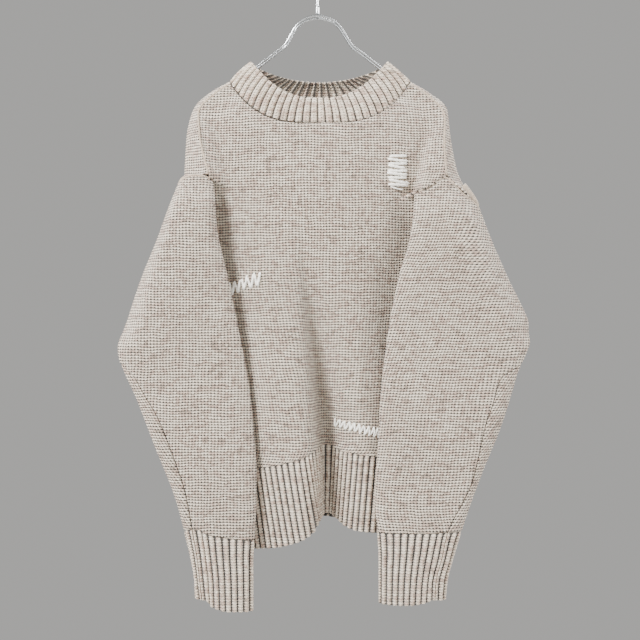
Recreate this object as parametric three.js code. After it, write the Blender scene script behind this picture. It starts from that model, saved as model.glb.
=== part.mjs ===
// A chunky hand-darned crew-neck sweater hanging on a slim double-wire hanger.
// Millimetres, +Z up, +X to the viewer's right, the wearer's front towards -Y.
// The origin is the inside of the hook's crown, where the hanger rests on its rail.
// Every piece of cloth is a wall that follows a smooth surface, given by a few sections
// placed by hand: rows run round the body or the arm, and columns run from neck to hem.
import * as THREE from 'three';

// ---------------------------------------------------------------- driving dimensions
const CLOTH = 3;            // thickness of the knitted wall
const EDGE = 1.2;           // thickness left at a panel's bound edge
const SEAM_GAP = 1.2;       // between the mid-lines of two pieces that are sewn together
const RIB_CLOTH = 3.4;      // the ribs are a little thicker
const YARN = 2.2;           // how thick a darn lies on the knitting
const DARN_GAP = 1.3;       // air under a darn
const WIRE_R = 1.6;         // hanger wire
const WIRE_Y = 7;           // each wire's distance from the middle
const HOOK_R = 1.8;         // hook wire
const CROWN_R = 18;         // inside radius of the hook
const FERRULE_R = 2.6;

const ARMHOLE_TOP = 0.25;   // down the front panel: where the shoulder seam meets the armhole
const ARMPIT_Z = -545;
const LEFT = -1;
const RIGHT = 1;

// ---------------------------------------------------------------- small tools
const mix = (a, b, t) => a + (b - a) * t;
const clamp01 = (t) => Math.min(1, Math.max(0, t));
const smooth = (t) => clamp01(t) ** 2 * (3 - 2 * clamp01(t));
const bell = (d) => Math.exp(-d * d);

// A smooth curve through knots [t, a, b, ...] that never swings past them.
function curveThrough(knots) {
  const size = knots[0].length - 1;
  const slope = (i, k) => (knots[i + 1][k] - knots[i][k]) / (knots[i + 1][0] - knots[i][0]);
  const tangent = (i, k) => {
    if (i === 0) return slope(0, k);
    if (i === knots.length - 1) return slope(i - 1, k);
    const before = slope(i - 1, k);
    const after = slope(i, k);
    return before * after <= 0 ? 0 : (2 * before * after) / (before + after);
  };
  return (t) => {
    let i = 0;
    while (i < knots.length - 2 && t > knots[i + 1][0]) {
      i += 1;
    }
    const span = knots[i + 1][0] - knots[i][0];
    const s = clamp01((t - knots[i][0]) / span);
    const values = [];
    for (let k = 1; k <= size; k += 1) {
      const h00 = (1 + 2 * s) * (1 - s) ** 2;
      const h10 = s * (1 - s) ** 2 * span;
      const h01 = s * s * (3 - 2 * s);
      const h11 = s * s * (s - 1) * span;
      values.push(h00 * knots[i][k] + h10 * tangent(i, k)
        + h01 * knots[i + 1][k] + h11 * tangent(i + 1, k));
    }
    return values;
  };
}

// A closed wall on a grid of points. ring says that each row closes on itself; above and
// below are the neighbouring piece's next rows, so that sewn edges stand the same way.
function wallGeometry(rows, thickness, edge, { ring = false, above, below } = {}) {
  const m = rows.length;
  const n = rows[0].length;
  const padded = [above ?? rows[0], ...rows, below ?? rows[m - 1]];
  const at = (i, j) => padded[i + 1][ring ? (j + n) % n : Math.min(n - 1, Math.max(0, j))];
  const positions = [];
  for (const side of [1, -1]) {
    for (let i = 0; i < m; i += 1) {
      for (let j = 0; j < n; j += 1) {
        const down = at(i + 1, j).clone().sub(at(i - 1, j));
        const across = at(i, j + 1).clone().sub(at(i, j - 1));
        const normal = down.cross(across).normalize();
        const onEdge = i === 0 || i === m - 1 || (!ring && (j === 0 || j === n - 1));
        const p = at(i, j).clone().addScaledVector(normal, side * (onEdge ? edge : thickness) / 2);
        positions.push(p.x, p.y, p.z);
      }
    }
  }
  const id = (side, i, j) => side * m * n + i * n + (ring ? j % n : j);
  const index = [];
  const quad = (a, b, c, d) => index.push(a, b, c, a, c, d);
  const columns = ring ? n : n - 1;
  for (let i = 0; i < m - 1; i += 1) {
    for (let j = 0; j < columns; j += 1) {
      quad(id(0, i, j), id(0, i + 1, j), id(0, i + 1, j + 1), id(0, i, j + 1));
      quad(id(1, i, j), id(1, i, j + 1), id(1, i + 1, j + 1), id(1, i + 1, j));
    }
  }
  for (let j = 0; j < columns; j += 1) {
    quad(id(0, 0, j), id(0, 0, j + 1), id(1, 0, j + 1), id(1, 0, j));
    quad(id(0, m - 1, j + 1), id(0, m - 1, j), id(1, m - 1, j), id(1, m - 1, j + 1));
  }
  for (let i = 0; i < m - 1 && !ring; i += 1) {
    quad(id(0, i + 1, 0), id(0, i, 0), id(1, i, 0), id(1, i + 1, 0));
    quad(id(0, i, n - 1), id(0, i + 1, n - 1), id(1, i + 1, n - 1), id(1, i, n - 1));
  }
  return facingOut(positions, index);
}

// Turns every face round when the closed mesh encloses a negative volume.
function facingOut(positions, index) {
  const point = (i) => new THREE.Vector3().fromArray(positions, i * 3);
  let volume = 0;
  for (let i = 0; i < index.length; i += 3) {
    volume += point(index[i]).dot(point(index[i + 1]).cross(point(index[i + 2])));
  }
  const turned = volume < 0 ? index.slice().reverse() : index;
  const geometry = new THREE.BufferGeometry();
  geometry.setAttribute('position', new THREE.Float32BufferAttribute(positions, 3));
  geometry.setIndex(turned);
  return geometry;
}

// Rows of points from surface(u, v) over a rectangle of its two parameters.
function gridOf(surface, us, vs) {
  return vs.map((v) => us.map((u) => new THREE.Vector3(...surface(u, v))));
}

const evenly = (from, to, count) => Array.from({ length: count + 1 }, (_, i) => mix(from, to, i / count));

// ---------------------------------------------------------------- outlines of the garment
// The front panel's two long edges, neck to rib: the shoulder seam down to the armhole,
// then the armhole's hidden front half to the armpit, then the side seam. [v, x, y, z]
const frontEdge = {
  [LEFT]: curveThrough([
    [0, -121, -13, -172], [0.1, -148, -17, -193], [0.17, -163, -25, -216], [0.21, -160, -38, -252],
    [ARMHOLE_TOP, -147, -46, -303], [0.27, -149, -38, -308], [0.29, -153, -30, -316],
    [0.36, -168, -23, -378], [0.48, -218, -20, -460], [0.6, -262, -18, ARMPIT_Z], [0.66, -240, -14, -580],
    [0.8, -204, -12, -645], [1, -178, -12, -712]]),
  [RIGHT]: curveThrough([
    [0, 128, -13, -172], [0.1, 158, -17, -195], [0.17, 174, -26, -222], [0.21, 172, -40, -262],
    [ARMHOLE_TOP, 174, -48, -305], [0.27, 157, -49, -315], [0.29, 139, -44, -323],
    [0.31, 136, -32, -332], [0.36, 158, -24, -372], [0.48, 222, -20, -450],
    [0.6, 276, -18, ARMPIT_Z + 5], [0.66, 250, -14, -580], [0.8, 212, -12, -645], [1, 178, -12, -704]]),
};

// How far the middle of the front hangs below its edges, row by row. [v, fall, squareness]
const frontFall = curveThrough([
  [0, 60, 3.3], [0.1, 62, 2.8], [ARMHOLE_TOP, 40, 2.4], [0.4, 14, 2], [0.6, 2, 2], [1, 0, 2]]);

// Inner edge of the fold that the dropped shoulder makes over the chest. [-z, x]
const shoulderFold = {
  [LEFT]: curveThrough([[215, -161], [244, -157], [269, -151], [292, -142], [326, -138]]),
  [RIGHT]: curveThrough([[200, 171], [233, 160], [255, 153], [286, 146], [326, 137]]),
};

// The sleeve's outer silhouette, inner fold and underarm seam. [-z, x]
const sleeveOuter = {
  [LEFT]: curveThrough([
    [300, -184], [347, -203], [391, -219], [443, -240], [497, -258], [535, -269], [549, -268],
    [568, -261], [604, -244], [669, -218], [734, -191], [777, -178], [818, -168], [849, -163], [885, -161]]),
  [RIGHT]: curveThrough([
    [286, 193], [338, 217], [390, 237], [445, 261], [488, 282], [504, 288], [525, 288],
    [544, 282], [568, 271], [602, 260], [636, 249], [718, 215], [790, 189], [852, 172], [885, 169]]),
};
const sleeveInner = {
  [LEFT]: curveThrough([
    [303, -146], [319, -142], [376, -137], [440, -123], [512, -108], [608, -91], [651, -87],
    [700, -83], [739, -83], [789, -85], [821, -87], [890, -87]]),
  [RIGHT]: curveThrough([
    [303, 136], [321, 134], [351, 132], [392, 126], [440, 112], [517, 97], [608, 86],
    [665, 83], [749, 79], [784, 82], [816, 84], [885, 84]]),
};
const underarmSeam = {
  [LEFT]: curveThrough([
    [545, -262], [560, -252], [595, -233], [632, -212], [677, -194], [731, -175], [772, -166],
    [821, -157], [885, -150]]),
  [RIGHT]: curveThrough([
    [540, 272], [560, 256], [582, 243], [618, 232], [634, 226], [718, 203], [782, 173],
    [815, 165], [849, 157], [885, 155]]),
};

// Depth of the sleeve's hidden layer; its face lies SLEEVE_DEEP in front. [-z, y]
const hiddenLayer = curveThrough([
  [300, -31], [345, -35], [545, -38], [640, -44], [720, -50], [790, -56], [885, -58]]);
const SLEEVE_DEEP = 23;

// ---------------------------------------------------------------- front panel
// Plan of the hem: two lobes standing forward of a deep fold. [x, y]
const hemPlan = curveThrough([
  [-190, -12], [-150, -15], [-122, -22], [-100, -36], [-78, -52], [-50, -63], [-24, -66], [-8, -59],
  [1, -38], [8, -13], [17, -11], [28, -24], [42, -38], [66, -47], [90, -42], [116, -26], [145, -15],
  [190, -12]]);
const chestMiddle = curveThrough([
  [172, -22], [232, -39], [300, -41], [420, -40], [560, -37], [720, -36]]);
const chestSide = curveThrough([[172, -13], [232, -20], [330, -22], [560, -16], [720, -12]]);
const FOLD_START_Z = -330;  // the deep fold starts to form here
const FOLD_FULL_Z = -720;
const FOLD_LEAN = 30;       // how far to the right the fold wanders as it rises
const CHEST_HALF = 150;     // half the width over which the front is rounded, at the neck
const WAIST_HALF = 190;
const CHEST_Z = -200;
const WAIST_Z = -500;
const HOLLOW = 9;           // the front is pushed in beside each sleeve
const HOLLOW_WIDTH = 24;
const HOLLOW_TOP = -290;
const HOLLOW_FULL = -350;

// Depth of the front panel at a place, before the shoulder folds are added.
function frontDepth(x, z) {
  const grow = smooth((FOLD_START_Z - z) / (FOLD_START_Z - FOLD_FULL_Z));
  const halfWidth = mix(CHEST_HALF, WAIST_HALF, smooth((CHEST_Z - z) / (CHEST_Z - WAIST_Z)));
  const roundness = Math.min(1, (x / halfWidth) ** 2);
  const plain = mix(chestMiddle(-z)[0], chestSide(-z)[0], roundness);
  const folded = hemPlan(x + FOLD_LEAN * (1 - grow))[0];
  let depth = mix(plain, folded, grow);
  for (const side of [LEFT, RIGHT]) {
    const inner = sleeveInner[side](-z)[0];
    const shown = smooth((HOLLOW_TOP - z) / (HOLLOW_TOP - HOLLOW_FULL)) * (1 - grow);
    depth += HOLLOW * shown * bell((x - inner) / HOLLOW_WIDTH);
  }
  return depth;
}

// Heights of the hem band's two edges. [x, z]
const ribTop = curveThrough([
  [-190, -716], [-120, -707], [-81, -700], [-47, -693], [-17, -684], [0, -673], [16, -670], [30, -677],
  [78, -685], [130, -694], [190, -706]]);
const ribBottom = curveThrough([
  [-190, -824], [-120, -815], [-80, -809], [-48, -804], [-22, -796], [-4, -785], [5, -772], [14, -767],
  [24, -771], [37, -781], [52, -786], [80, -789], [130, -796], [190, -808]]);
// How far each rib leans sideways on its way down, because the lobes close on the fold. [x, shift]
const ribLean = curveThrough([
  [-190, 4], [-110, 12], [-60, 18], [-16, 15], [6, 1], [24, -5], [60, -9], [120, -6], [190, -3]]);
const LEVEL_FROM = 0.6;     // down the panel, where the rows start to follow the rib's join
const STEP_HALF = 7;        // half the width of the step that each shoulder fold makes
const STEP_END = 0.27;      // down the panel, where the step dies out
const STEP_FADE = 0.06;
const EDGE_BLEND = 0.1;     // share of the width over which the front turns to its edge

// A point of the front's mid-surface. u runs left to right, v from neck (0) to rib (1).
function frontSurface(u, v) {
  const left = frontEdge[LEFT](v);
  const right = frontEdge[RIGHT](v);
  const x = mix(left[0], right[0], u);
  const [fall, squareness] = frontFall(v);
  const hang = fall * (1 - Math.abs(2 * u - 1) ** squareness);
  const level = mix(left[2], right[2], u) - hang;
  const z = mix(level, ribTop(x)[0], smooth((v - LEVEL_FROM) / (1 - LEVEL_FROM)));
  let y = frontDepth(x, z);
  const near = u < 0.5 ? LEFT : RIGHT;
  const edge = u < 0.5 ? left : right;
  const overFold = near * x - near * shoulderFold[near](-z)[0];
  const fading = 1 - smooth((v - STEP_END) / STEP_FADE);
  const folded = smooth((overFold + STEP_HALF) / (2 * STEP_HALF)) * fading;
  y = mix(y, edge[1], folded);
  const toEdge = smooth(1 - Math.min(u, 1 - u) / EDGE_BLEND);
  return [x, mix(y, edge[1], toEdge * (1 - folded)), z];
}

// The front hem band carries on from the panel; w runs from its seam (0) to the hem (1).
function frontHemSurface(u, w) {
  const top = frontSurface(u, 1);
  const x = top[0] + ribLean(top[0])[0] * w;
  const z = mix(top[2] - SEAM_GAP, ribBottom(x)[0], w);
  const toEdge = smooth(1 - Math.min(u, 1 - u) / EDGE_BLEND);
  return [x, mix(frontDepth(x, z), top[1], toEdge), z];
}

// ---------------------------------------------------------------- back panel
// Columns of the back from its left edge to its right: the seam that lies on the front of
// the shoulder, the crest, the rear of the shoulder, and the middle. [v, x, y, z]
const backColumns = [
  { at: 0,
    line: curveThrough([
      [0, -121, -12, -171], [0.1, -150, -16, -192], [0.17, -165, -24, -215], [0.21, -161, -39, -253],
      [ARMHOLE_TOP, -149, -46, -301], [0.265, -166, -46, -305], [0.28, -181, -32, -311],
      [0.3, -187, -12, -322], [0.36, -208, -9, -376], [0.48, -242, -9, -460], [0.6, -266, -12, ARMPIT_Z],
      [0.66, -242, -9, -580], [0.8, -205, -8, -645], [1, -178, -8, -712]]) },
  { at: 0.07,
    line: curveThrough([
      [0, -120, 0, -167], [0.1, -150, 0, -184], [0.17, -172, 0, -206], [0.21, -180, -12, -245],
      [ARMHOLE_TOP, -183, -14, -298], [0.3, -185, -3, -330], [0.36, -200, 1, -380], [0.48, -232, 1, -463],
      [0.6, -254, 1, -550], [0.66, -234, 1, -580], [0.8, -199, 1, -645], [1, -172, 1, -712]]) },
  { at: 0.16,
    line: curveThrough([
      [0, -118, 13, -170], [0.1, -143, 15, -197], [0.17, -166, 16, -230], [0.21, -170, 14, -268],
      [ARMHOLE_TOP, -170, 12, -310], [0.36, -176, 12, -390], [0.6, -212, 10, -552], [1, -150, 8, -712]]) },
  { at: 0.3,
    line: curveThrough([
      [0, -58, 27, -183], [0.1, -86, 25, -216], [0.17, -100, 24, -258], [ARMHOLE_TOP, -104, 22, -330],
      [0.36, -108, 20, -400], [0.6, -118, 17, -556], [1, -86, 14, -706]]) },
  { at: 0.5,
    line: curveThrough([
      [0, 2, 31, -187], [0.1, 3, 28, -226], [0.17, 3, 26, -272], [ARMHOLE_TOP, 3, 24, -342],
      [0.36, 4, 22, -408], [0.6, 5, 19, -560], [1, 4, 15, -672]]) },
  { at: 0.7,
    line: curveThrough([
      [0, 64, 27, -183], [0.1, 92, 25, -216], [0.17, 108, 24, -258], [ARMHOLE_TOP, 112, 22, -330],
      [0.36, 116, 20, -400], [0.6, 124, 17, -556], [1, 88, 14, -694]]) },
  { at: 0.84,
    line: curveThrough([
      [0, 124, 13, -170], [0.1, 150, 15, -199], [0.17, 174, 16, -232], [0.21, 178, 14, -270],
      [ARMHOLE_TOP, 182, 12, -312], [0.36, 190, 12, -390], [0.6, 222, 10, -548], [1, 151, 8, -704]]) },
  { at: 0.93,
    line: curveThrough([
      [0, 127, 0, -167], [0.1, 157, 0, -185], [0.17, 180, 0, -207], [0.21, 182, -12, -238],
      [ARMHOLE_TOP, 191, -14, -290], [0.3, 207, -12, -330], [0.36, 215, -1, -375], [0.48, 246, 1, -450],
      [0.6, 268, 1, -545], [0.66, 244, 1, -580], [0.8, 206, 1, -645], [1, 172, 1, -704]]) },
  { at: 1,
    line: curveThrough([
      [0, 128, -12, -171], [0.1, 160, -16, -194], [0.17, 176, -25, -221], [0.21, 174, -41, -262],
      [ARMHOLE_TOP, 176, -48, -303], [0.28, 195, -46, -322], [0.3, 211, -36, -337], [0.33, 222, -12, -355],
      [0.36, 228, -9, -376], [0.48, 260, -9, -450], [0.6, 281, -12, ARMPIT_Z + 5],
      [0.66, 252, -9, -580], [0.8, 213, -8, -645], [1, 178, -8, -704]]) },
];

// A point of the back's mid-surface. u runs left to right, v from neck (0) to rib (1).
function backSurface(u, v) {
  return curveThrough(backColumns.map(({ at, line }) => [at, ...line(v)]))(u);
}

const BACK_RIB = 104;       // depth of the back's hem band
const BACK_RIB_LEAN = 2;    // how far it draws in towards its edge

// The back hem band; w runs from its seam (0) to the hem (1).
function backHemSurface(u, w) {
  const top = backSurface(u, 1);
  return [top[0], top[1] - BACK_RIB_LEAN * w, top[2] - SEAM_GAP - (BACK_RIB - SEAM_GAP) * w];
}

// ---------------------------------------------------------------- sleeves
// Height of the sleeve's first and last rows, from the back edge (s = 0) round the face and
// the inner fold to the hidden front edge (s = 1). [s, z]
const sleeveHead = {
  [LEFT]: curveThrough([
    [0, -325], [0.08, -316], [0.18, -308], [0.32, -304.8], [0.45, -307], [0.55, -313], [0.68, -321],
    [1, -329]]),
  [RIGHT]: curveThrough([
    [0, -361], [0.08, -350], [0.18, -330], [0.3, -308.5], [0.42, -322], [0.55, -329], [0.68, -335],
    [1, -343]]),
};
const cuffTop = {
  [LEFT]: curveThrough([[0, -778], [0.1, -778], [0.3, -787], [0.55, -793], [0.8, -784], [1, -778]]),
  [RIGHT]: curveThrough([[0, -782], [0.1, -782], [0.3, -783], [0.55, -783], [0.8, -782], [1, -782]]),
};
const cuffEnd = {
  [LEFT]: curveThrough([
    [0, -871], [0.05, -872], [0.12, -874], [0.2, -879], [0.35, -886], [0.55, -887], [0.8, -880],
    [0.95, -871], [1, -871]]),
  [RIGHT]: curveThrough([
    [0, -871], [0.1, -872], [0.2, -874], [0.35, -878], [0.55, -877], [0.8, -874], [0.95, -872], [1, -871]]),
};
const PIT_TOP = 505;        // the armhole starts to close
const PIT_END = 542;        // and is closed
const SEAM_FRONT = 580;     // by here the underarm seam has come round to the face
const SEAM_START = 0.25;    // shares of the way round over which the seam's shift fades
const SEAM_FINISH = 0.22;
const HEAD_Y = -47;         // depth of the face where it meets the shoulder
const HEAD_BLEND = 45;      // length over which it settles to the tube's own depth
const REAR_EDGE_Y = -15.5;  // depth of the sleeve's back edge above the armpit
const CREST_Y = -30;        // and of the silhouette beside it

// A point of the closed, flattened sleeve tube; q goes once round from the silhouette.
function sleeveLoop(side, q, z) {
  const outer = sleeveOuter[side](-z)[0];
  const inner = sleeveInner[side](-z)[0];
  const wide = inner - outer;
  const hidden = hiddenLayer(-z)[0];
  const face = hidden - SLEEVE_DEEP;
  const round = [
    [0, outer, mix(face, hidden, 0.55)], [0.1, outer + wide * 0.1, face + 2],
    [0.18, outer + wide * 0.22, face], [0.32, outer + wide * 0.5, face - 2],
    [0.45, outer + wide * 0.84, face], [0.55, inner, mix(face, hidden, 0.42)],
    [0.66, inner - wide * 0.16, hidden], [0.8, outer + wide * 0.4, hidden + 1],
    [0.92, outer + wide * 0.08, hidden - 2]];
  const last = round.at(-1);
  const closed = [[last[0] - 1, last[1], last[2]], ...round, [1, round[0][1], round[0][2]],
    [round[1][0] + 1, round[1][1], round[1][2]], [round[2][0] + 1, round[2][1], round[2][2]]];
  return curveThrough(closed)(q);
}

// A point of the sleeve's mid-surface at a height: a flattened tube, open above the armpit.
function sleeveSection(side, s, z) {
  const outer = sleeveOuter[side](-z)[0];
  const inner = sleeveInner[side](-z)[0];
  const wide = inner - outer;
  const shut = smooth((-z - PIT_TOP) / (PIT_END - PIT_TOP));
  const seamAt = mix(-0.05, 0.9 * (underarmSeam[side](-z)[0] - outer) / wide,
    smooth((-z - PIT_END) / (SEAM_FRONT - PIT_END)));
  const ending = smooth((s - 1 + SEAM_FINISH) / SEAM_FINISH);
  const gap = 1.4 * SEAM_GAP / Math.abs(wide);
  const shift = seamAt * (1 - smooth(s / SEAM_START) + ending);
  const tube = sleeveLoop(side, s + shift - gap * ending, z);
  if (shut === 1) {
    return [...tube, z];
  }
  const start = smooth((sleeveHead[side](s)[0] - z) / HEAD_BLEND);
  const hidden = hiddenLayer(-z)[0];
  const face = mix(HEAD_Y, hidden - SLEEVE_DEEP, start);
  const rear = hiddenEdge(side, z);
  const tuck = inner - wide * 0.16;
  const open = curveThrough([
    [0, outer - side / 2, REAR_EDGE_Y], [0.08, outer, CREST_Y], [0.18, outer + wide * 0.2, face + 1],
    [0.32, outer + wide * 0.5, face - 2], [0.45, outer + wide * 0.84, face],
    [0.55, inner, mix(face, hidden, 0.42)], [0.66, tuck, hidden],
    [0.8, mix(tuck, rear[0], 0.55), mix(hidden, rear[1], 0.4)],
    [0.92, mix(tuck, rear[0], 0.88), mix(hidden, rear[1], 0.8)], [1, ...rear]])(s);
  return [mix(open[0], tube[0], shut), mix(open[1], tube[1], shut), z];
}

const HIDDEN_SPAN = [0.29, 0.62]; // down the panel, the armhole's hidden half
const HALVINGS = 24;

// Where the sleeve's hidden front edge meets the front panel's armhole at a height.
function hiddenEdge(side, z) {
  let [low, high] = HIDDEN_SPAN;
  for (let k = 0; k < HALVINGS; k += 1) {
    const middle = (low + high) / 2;
    if (frontEdge[side](middle)[2] > z) {
      low = middle;
    } else {
      high = middle;
    }
  }
  const edge = frontEdge[side](low);
  return [edge[0] + (side * SEAM_GAP) / 2, edge[1] - 2 * SEAM_GAP];
}

// A point of the sleeve; t runs from the armhole (0) to the cuff (1).
function sleeveSurface(side, s, t) {
  return sleeveSection(side, s, mix(sleeveHead[side](s)[0], cuffTop[side](s)[0], t));
}

// A point of the cuff; w runs from its join (0) to the wrist (1).
function cuffSurface(side, s, w) {
  return sleeveSection(side, s, mix(cuffTop[side](s)[0] - SEAM_GAP, cuffEnd[side](s)[0], w));
}

// ---------------------------------------------------------------- collar
// The ring follows the front's and the back's neck edges, then rises and leans inwards.
// Top edge of the collar: the corners, the front middle and the back middle. [x, y, z]
const COLLAR_CORNER = { [LEFT]: [-92, 0, -141], [RIGHT]: [97, 0, -141] };
const COLLAR_FRONT = { y: -33, z: -197, squareness: 2.5 };
const COLLAR_BACK = { y: 23, z: -163, squareness: 2 };
const COLLAR_FOOT = 0.03;   // share of the rise left as the gap over the neck edge
const COLLAR_BELLY = 2.5;   // how far the band bulges between its edges
const COLLAR_CORNERS = 6;   // how square its plan is
const SIDE_SHARE = 0.4;     // how much the bulge faces sideways

// The collar's top edge over a neck point. u runs left to right, front or back.
function collarTop(u, shape) {
  const across = Math.abs(2 * u - 1);
  const bow = 1 - across ** shape.squareness;
  const x = mix(COLLAR_CORNER[LEFT][0], COLLAR_CORNER[RIGHT][0], u);
  const depth = Math.sqrt(Math.max(0, 1 - across ** COLLAR_CORNERS));
  return [x, shape.y * depth, mix(COLLAR_CORNER[LEFT][2], shape.z, bow)];
}

// a goes round the ring from the left corner (0) along the front (0.5 is the right corner).
function collarSurface(a, h) {
  const front = a < 0.5;
  const u = front ? a * 2 : 2 - a * 2;
  const neck = front ? frontSurface(u, 0) : backSurface(u, 0);
  const top = collarTop(u, front ? COLLAR_FRONT : COLLAR_BACK);
  const rise = mix(COLLAR_FOOT, 1, h);
  const belly = COLLAR_BELLY * Math.sin(Math.PI * h);
  const outward = new THREE.Vector2(neck[0] * SIDE_SHARE, neck[1]).normalize();
  return [
    mix(neck[0], top[0], rise) + outward.x * belly,
    mix(neck[1], top[1], rise) + outward.y * belly,
    mix(neck[2], top[2], rise) + SEAM_GAP];
}

// ---------------------------------------------------------------- darns
// Patches of thick hand stitches on the front. [x, z] of their two ends and their width.
const darns = {
  darn_chest: { from: [110, -273], to: [110, -322], width: 31 },
  darn_waist: { from: [-122, -458], to: [-77, -443], width: 19 },
  darn_hem: { from: [24, -640], to: [84, -654], width: 13 },
};

// A darn lies on the front's outer face: its points are the front's, moved out.
function darnSurface({ from, to, width }, a, b) {
  const along = new THREE.Vector2(to[0] - from[0], to[1] - from[1]).normalize();
  const x = mix(from[0], to[0], a) - along.y * width * (b - 0.5);
  const z = mix(from[1], to[1], a) + along.x * width * (b - 0.5);
  const step = 1;
  const slopeX = (frontDepth(x + step, z) - frontDepth(x - step, z)) / (2 * step);
  const slopeZ = (frontDepth(x, z + step) - frontDepth(x, z - step)) / (2 * step);
  const outward = new THREE.Vector3(slopeX, -1, slopeZ).normalize();
  const lift = CLOTH / 2 + DARN_GAP + YARN / 2;
  return new THREE.Vector3(x, frontDepth(x, z), z).addScaledVector(outward, lift).toArray();
}

// ---------------------------------------------------------------- hanger
// One side of a wire from the bridge to its end. [x, z]
const wireRoute = {
  [LEFT]: [[0, -76], [-12, -78], [-22, -83], [-31, -92], [-39, -106], [-46, -117], [-56, -125],
    [-83, -146], [-102, -163], [-122, -180], [-148, -200], [-154, -204]],
  [RIGHT]: [[0, -76], [12, -78], [21, -82], [31, -91], [40, -105], [49, -118], [60, -126], [88, -148],
    [107, -164], [128, -181], [154, -202], [160, -206]],
};
const TUBE_SIDES = 8;

// A closed tube along a run of points; a loop joins its last ring to its first.
function tubeGeometry(path, radius, loop = false, sides = TUBE_SIDES) {
  const m = path.length;
  const positions = [];
  const index = [];
  const start = path[1].clone().sub(path[0]).normalize();
  let lateral = Math.abs(start.y) > 0.9 ? new THREE.Vector3(1, 0, 0) : new THREE.Vector3(0, 1, 0);
  path.forEach((p, i) => {
    const ahead = path[loop ? (i + 1) % m : Math.min(i + 1, m - 1)];
    const behind = path[loop ? (i + m - 1) % m : Math.max(i - 1, 0)];
    const tangent = ahead.clone().sub(behind).normalize();
    lateral = lateral.clone().addScaledVector(tangent, -lateral.dot(tangent)).normalize();
    const other = tangent.clone().cross(lateral);
    for (let k = 0; k < sides; k += 1) {
      const angle = (2 * Math.PI * k) / sides;
      const q = p.clone().addScaledVector(lateral, radius * Math.cos(angle));
      q.addScaledVector(other, radius * Math.sin(angle));
      positions.push(q.x, q.y, q.z);
    }
  });
  const rings = loop ? m : m - 1;
  for (let i = 0; i < rings; i += 1) {
    for (let k = 0; k < sides; k += 1) {
      const a = i * sides + k;
      const b = i * sides + ((k + 1) % sides);
      const c = ((i + 1) % m) * sides + ((k + 1) % sides);
      const d = ((i + 1) % m) * sides + k;
      index.push(a, c, b, a, d, c);
    }
  }
  for (let k = 1; k < sides - 1 && !loop; k += 1) {
    const last = (m - 1) * sides;
    index.push(0, k, k + 1, last, last + k + 1, last + k);
  }
  return facingOut(positions, index);
}

const BEND_TURNS = [-0.35 * Math.PI, 0, 0.35 * Math.PI];
const WIRE_SLOPE = 0.73;    // the wire's fall at its ends, for each millimetre outwards

// The two wires are one loop: along the front, round the left end, back, round the right end.
function wireLoop() {
  const route = [...wireRoute[RIGHT].slice(1).reverse(), ...wireRoute[LEFT]];
  const frontRun = route.map(([x, z]) => new THREE.Vector3(x, -WIRE_Y, z));
  const rearRun = route.map(([x, z]) => new THREE.Vector3(x, WIRE_Y, z)).reverse();
  const bend = (side) => {
    const [x, z] = wireRoute[side].at(-1);
    return BEND_TURNS.map((turn) => {
      const reach = WIRE_Y * Math.cos(turn);
      return new THREE.Vector3(x + side * reach, WIRE_Y * Math.sin(turn), z - reach * WIRE_SLOPE);
    });
  };
  return [...frontRun, ...bend(LEFT), ...rearRun, ...bend(RIGHT).reverse()];
}

const HOOK_TIP = [-18.4, 0, -30];
const HOOK_TURN = [185, 0]; // degrees round the crown, from the tip's side to the shank's

// Hook: a free tip, most of a circle round the rail, then down to a straight shank.
function hookPath() {
  const r = CROWN_R + HOOK_R;
  const points = [new THREE.Vector3(...HOOK_TIP)];
  for (const degrees of evenly(...HOOK_TURN, 10)) {
    const angle = THREE.MathUtils.degToRad(degrees);
    points.push(new THREE.Vector3(r * Math.cos(angle), 0, -CROWN_R + r * Math.sin(angle)));
  }
  const shank = [[18, -27], [12, -35], [5, -42], [1, -48], [0, -54], [0, -61.5]];
  return points.concat(shank.map(([x, z]) => new THREE.Vector3(x, 0, z)));
}

const FERRULE_TOP = -62;
const FERRULE_END = -72;
const BRIDGE_Z = -75.4;
const BRIDGE_REACH = WIRE_Y - WIRE_R - 0.3;
const ROD_SIDES = 12;

// A short straight rod between two points.
function rod(from, to) {
  const ends = [new THREE.Vector3(...from), new THREE.Vector3(...to)];
  return tubeGeometry(ends, FERRULE_R, false, ROD_SIDES);
}

// ---------------------------------------------------------------- the whole object
const group = new THREE.Group();

function add(name, geometry, color, roughness, metalness = 0) {
  const mesh = new THREE.Mesh(geometry, new THREE.MeshStandardMaterial({ color, roughness, metalness }));
  mesh.name = name;
  group.add(mesh);
}

const OATMEAL = 0xc0b3a2;
const CREAM = 0xebe8dc;
const CHROME = 0xc8cacc;

// Grid lines of each piece, closer together where it bends.
const bodyAcross = evenly(0, 1, 34);
const backAcross = evenly(0, 1, 26);
const sleeveAround = [
  0, 0.05, 0.1, 0.15, 0.2, 0.27, 0.34, 0.4, 0.44, 0.475, 0.505, 0.53, 0.55, 0.57, 0.595, 0.63,
  0.67, 0.72, 0.78, 0.82, 0.855, 0.885, 0.91, 0.935, 0.957, 0.98, 1];
const bodyDown = [
  0, 0.06, 0.12, 0.17, 0.21, 0.25, 0.27, 0.29, 0.32, 0.37, 0.44, 0.52, 0.6, 0.66, 0.78, 0.9, 1];
const sleeveDown = [0, 0.03, 0.07, 0.13, 0.22, 0.32, 0.41, 0.46, 0.5, 0.54, 0.58, 0.66, 0.77, 0.89, 1];
const bandDown = evenly(0, 1, 2);

// Adds a panel and the ribbed band that is knitted on to its lower edge.
function addPanel(panel, panelRows, band, bandRows) {
  const below = bandRows[1];
  const above = panelRows.at(-2);
  add(panel, wallGeometry(panelRows, CLOTH, EDGE, { below }), OATMEAL, 1);
  add(band, wallGeometry(bandRows, RIB_CLOTH, EDGE, { above }), OATMEAL, 1);
}

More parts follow.
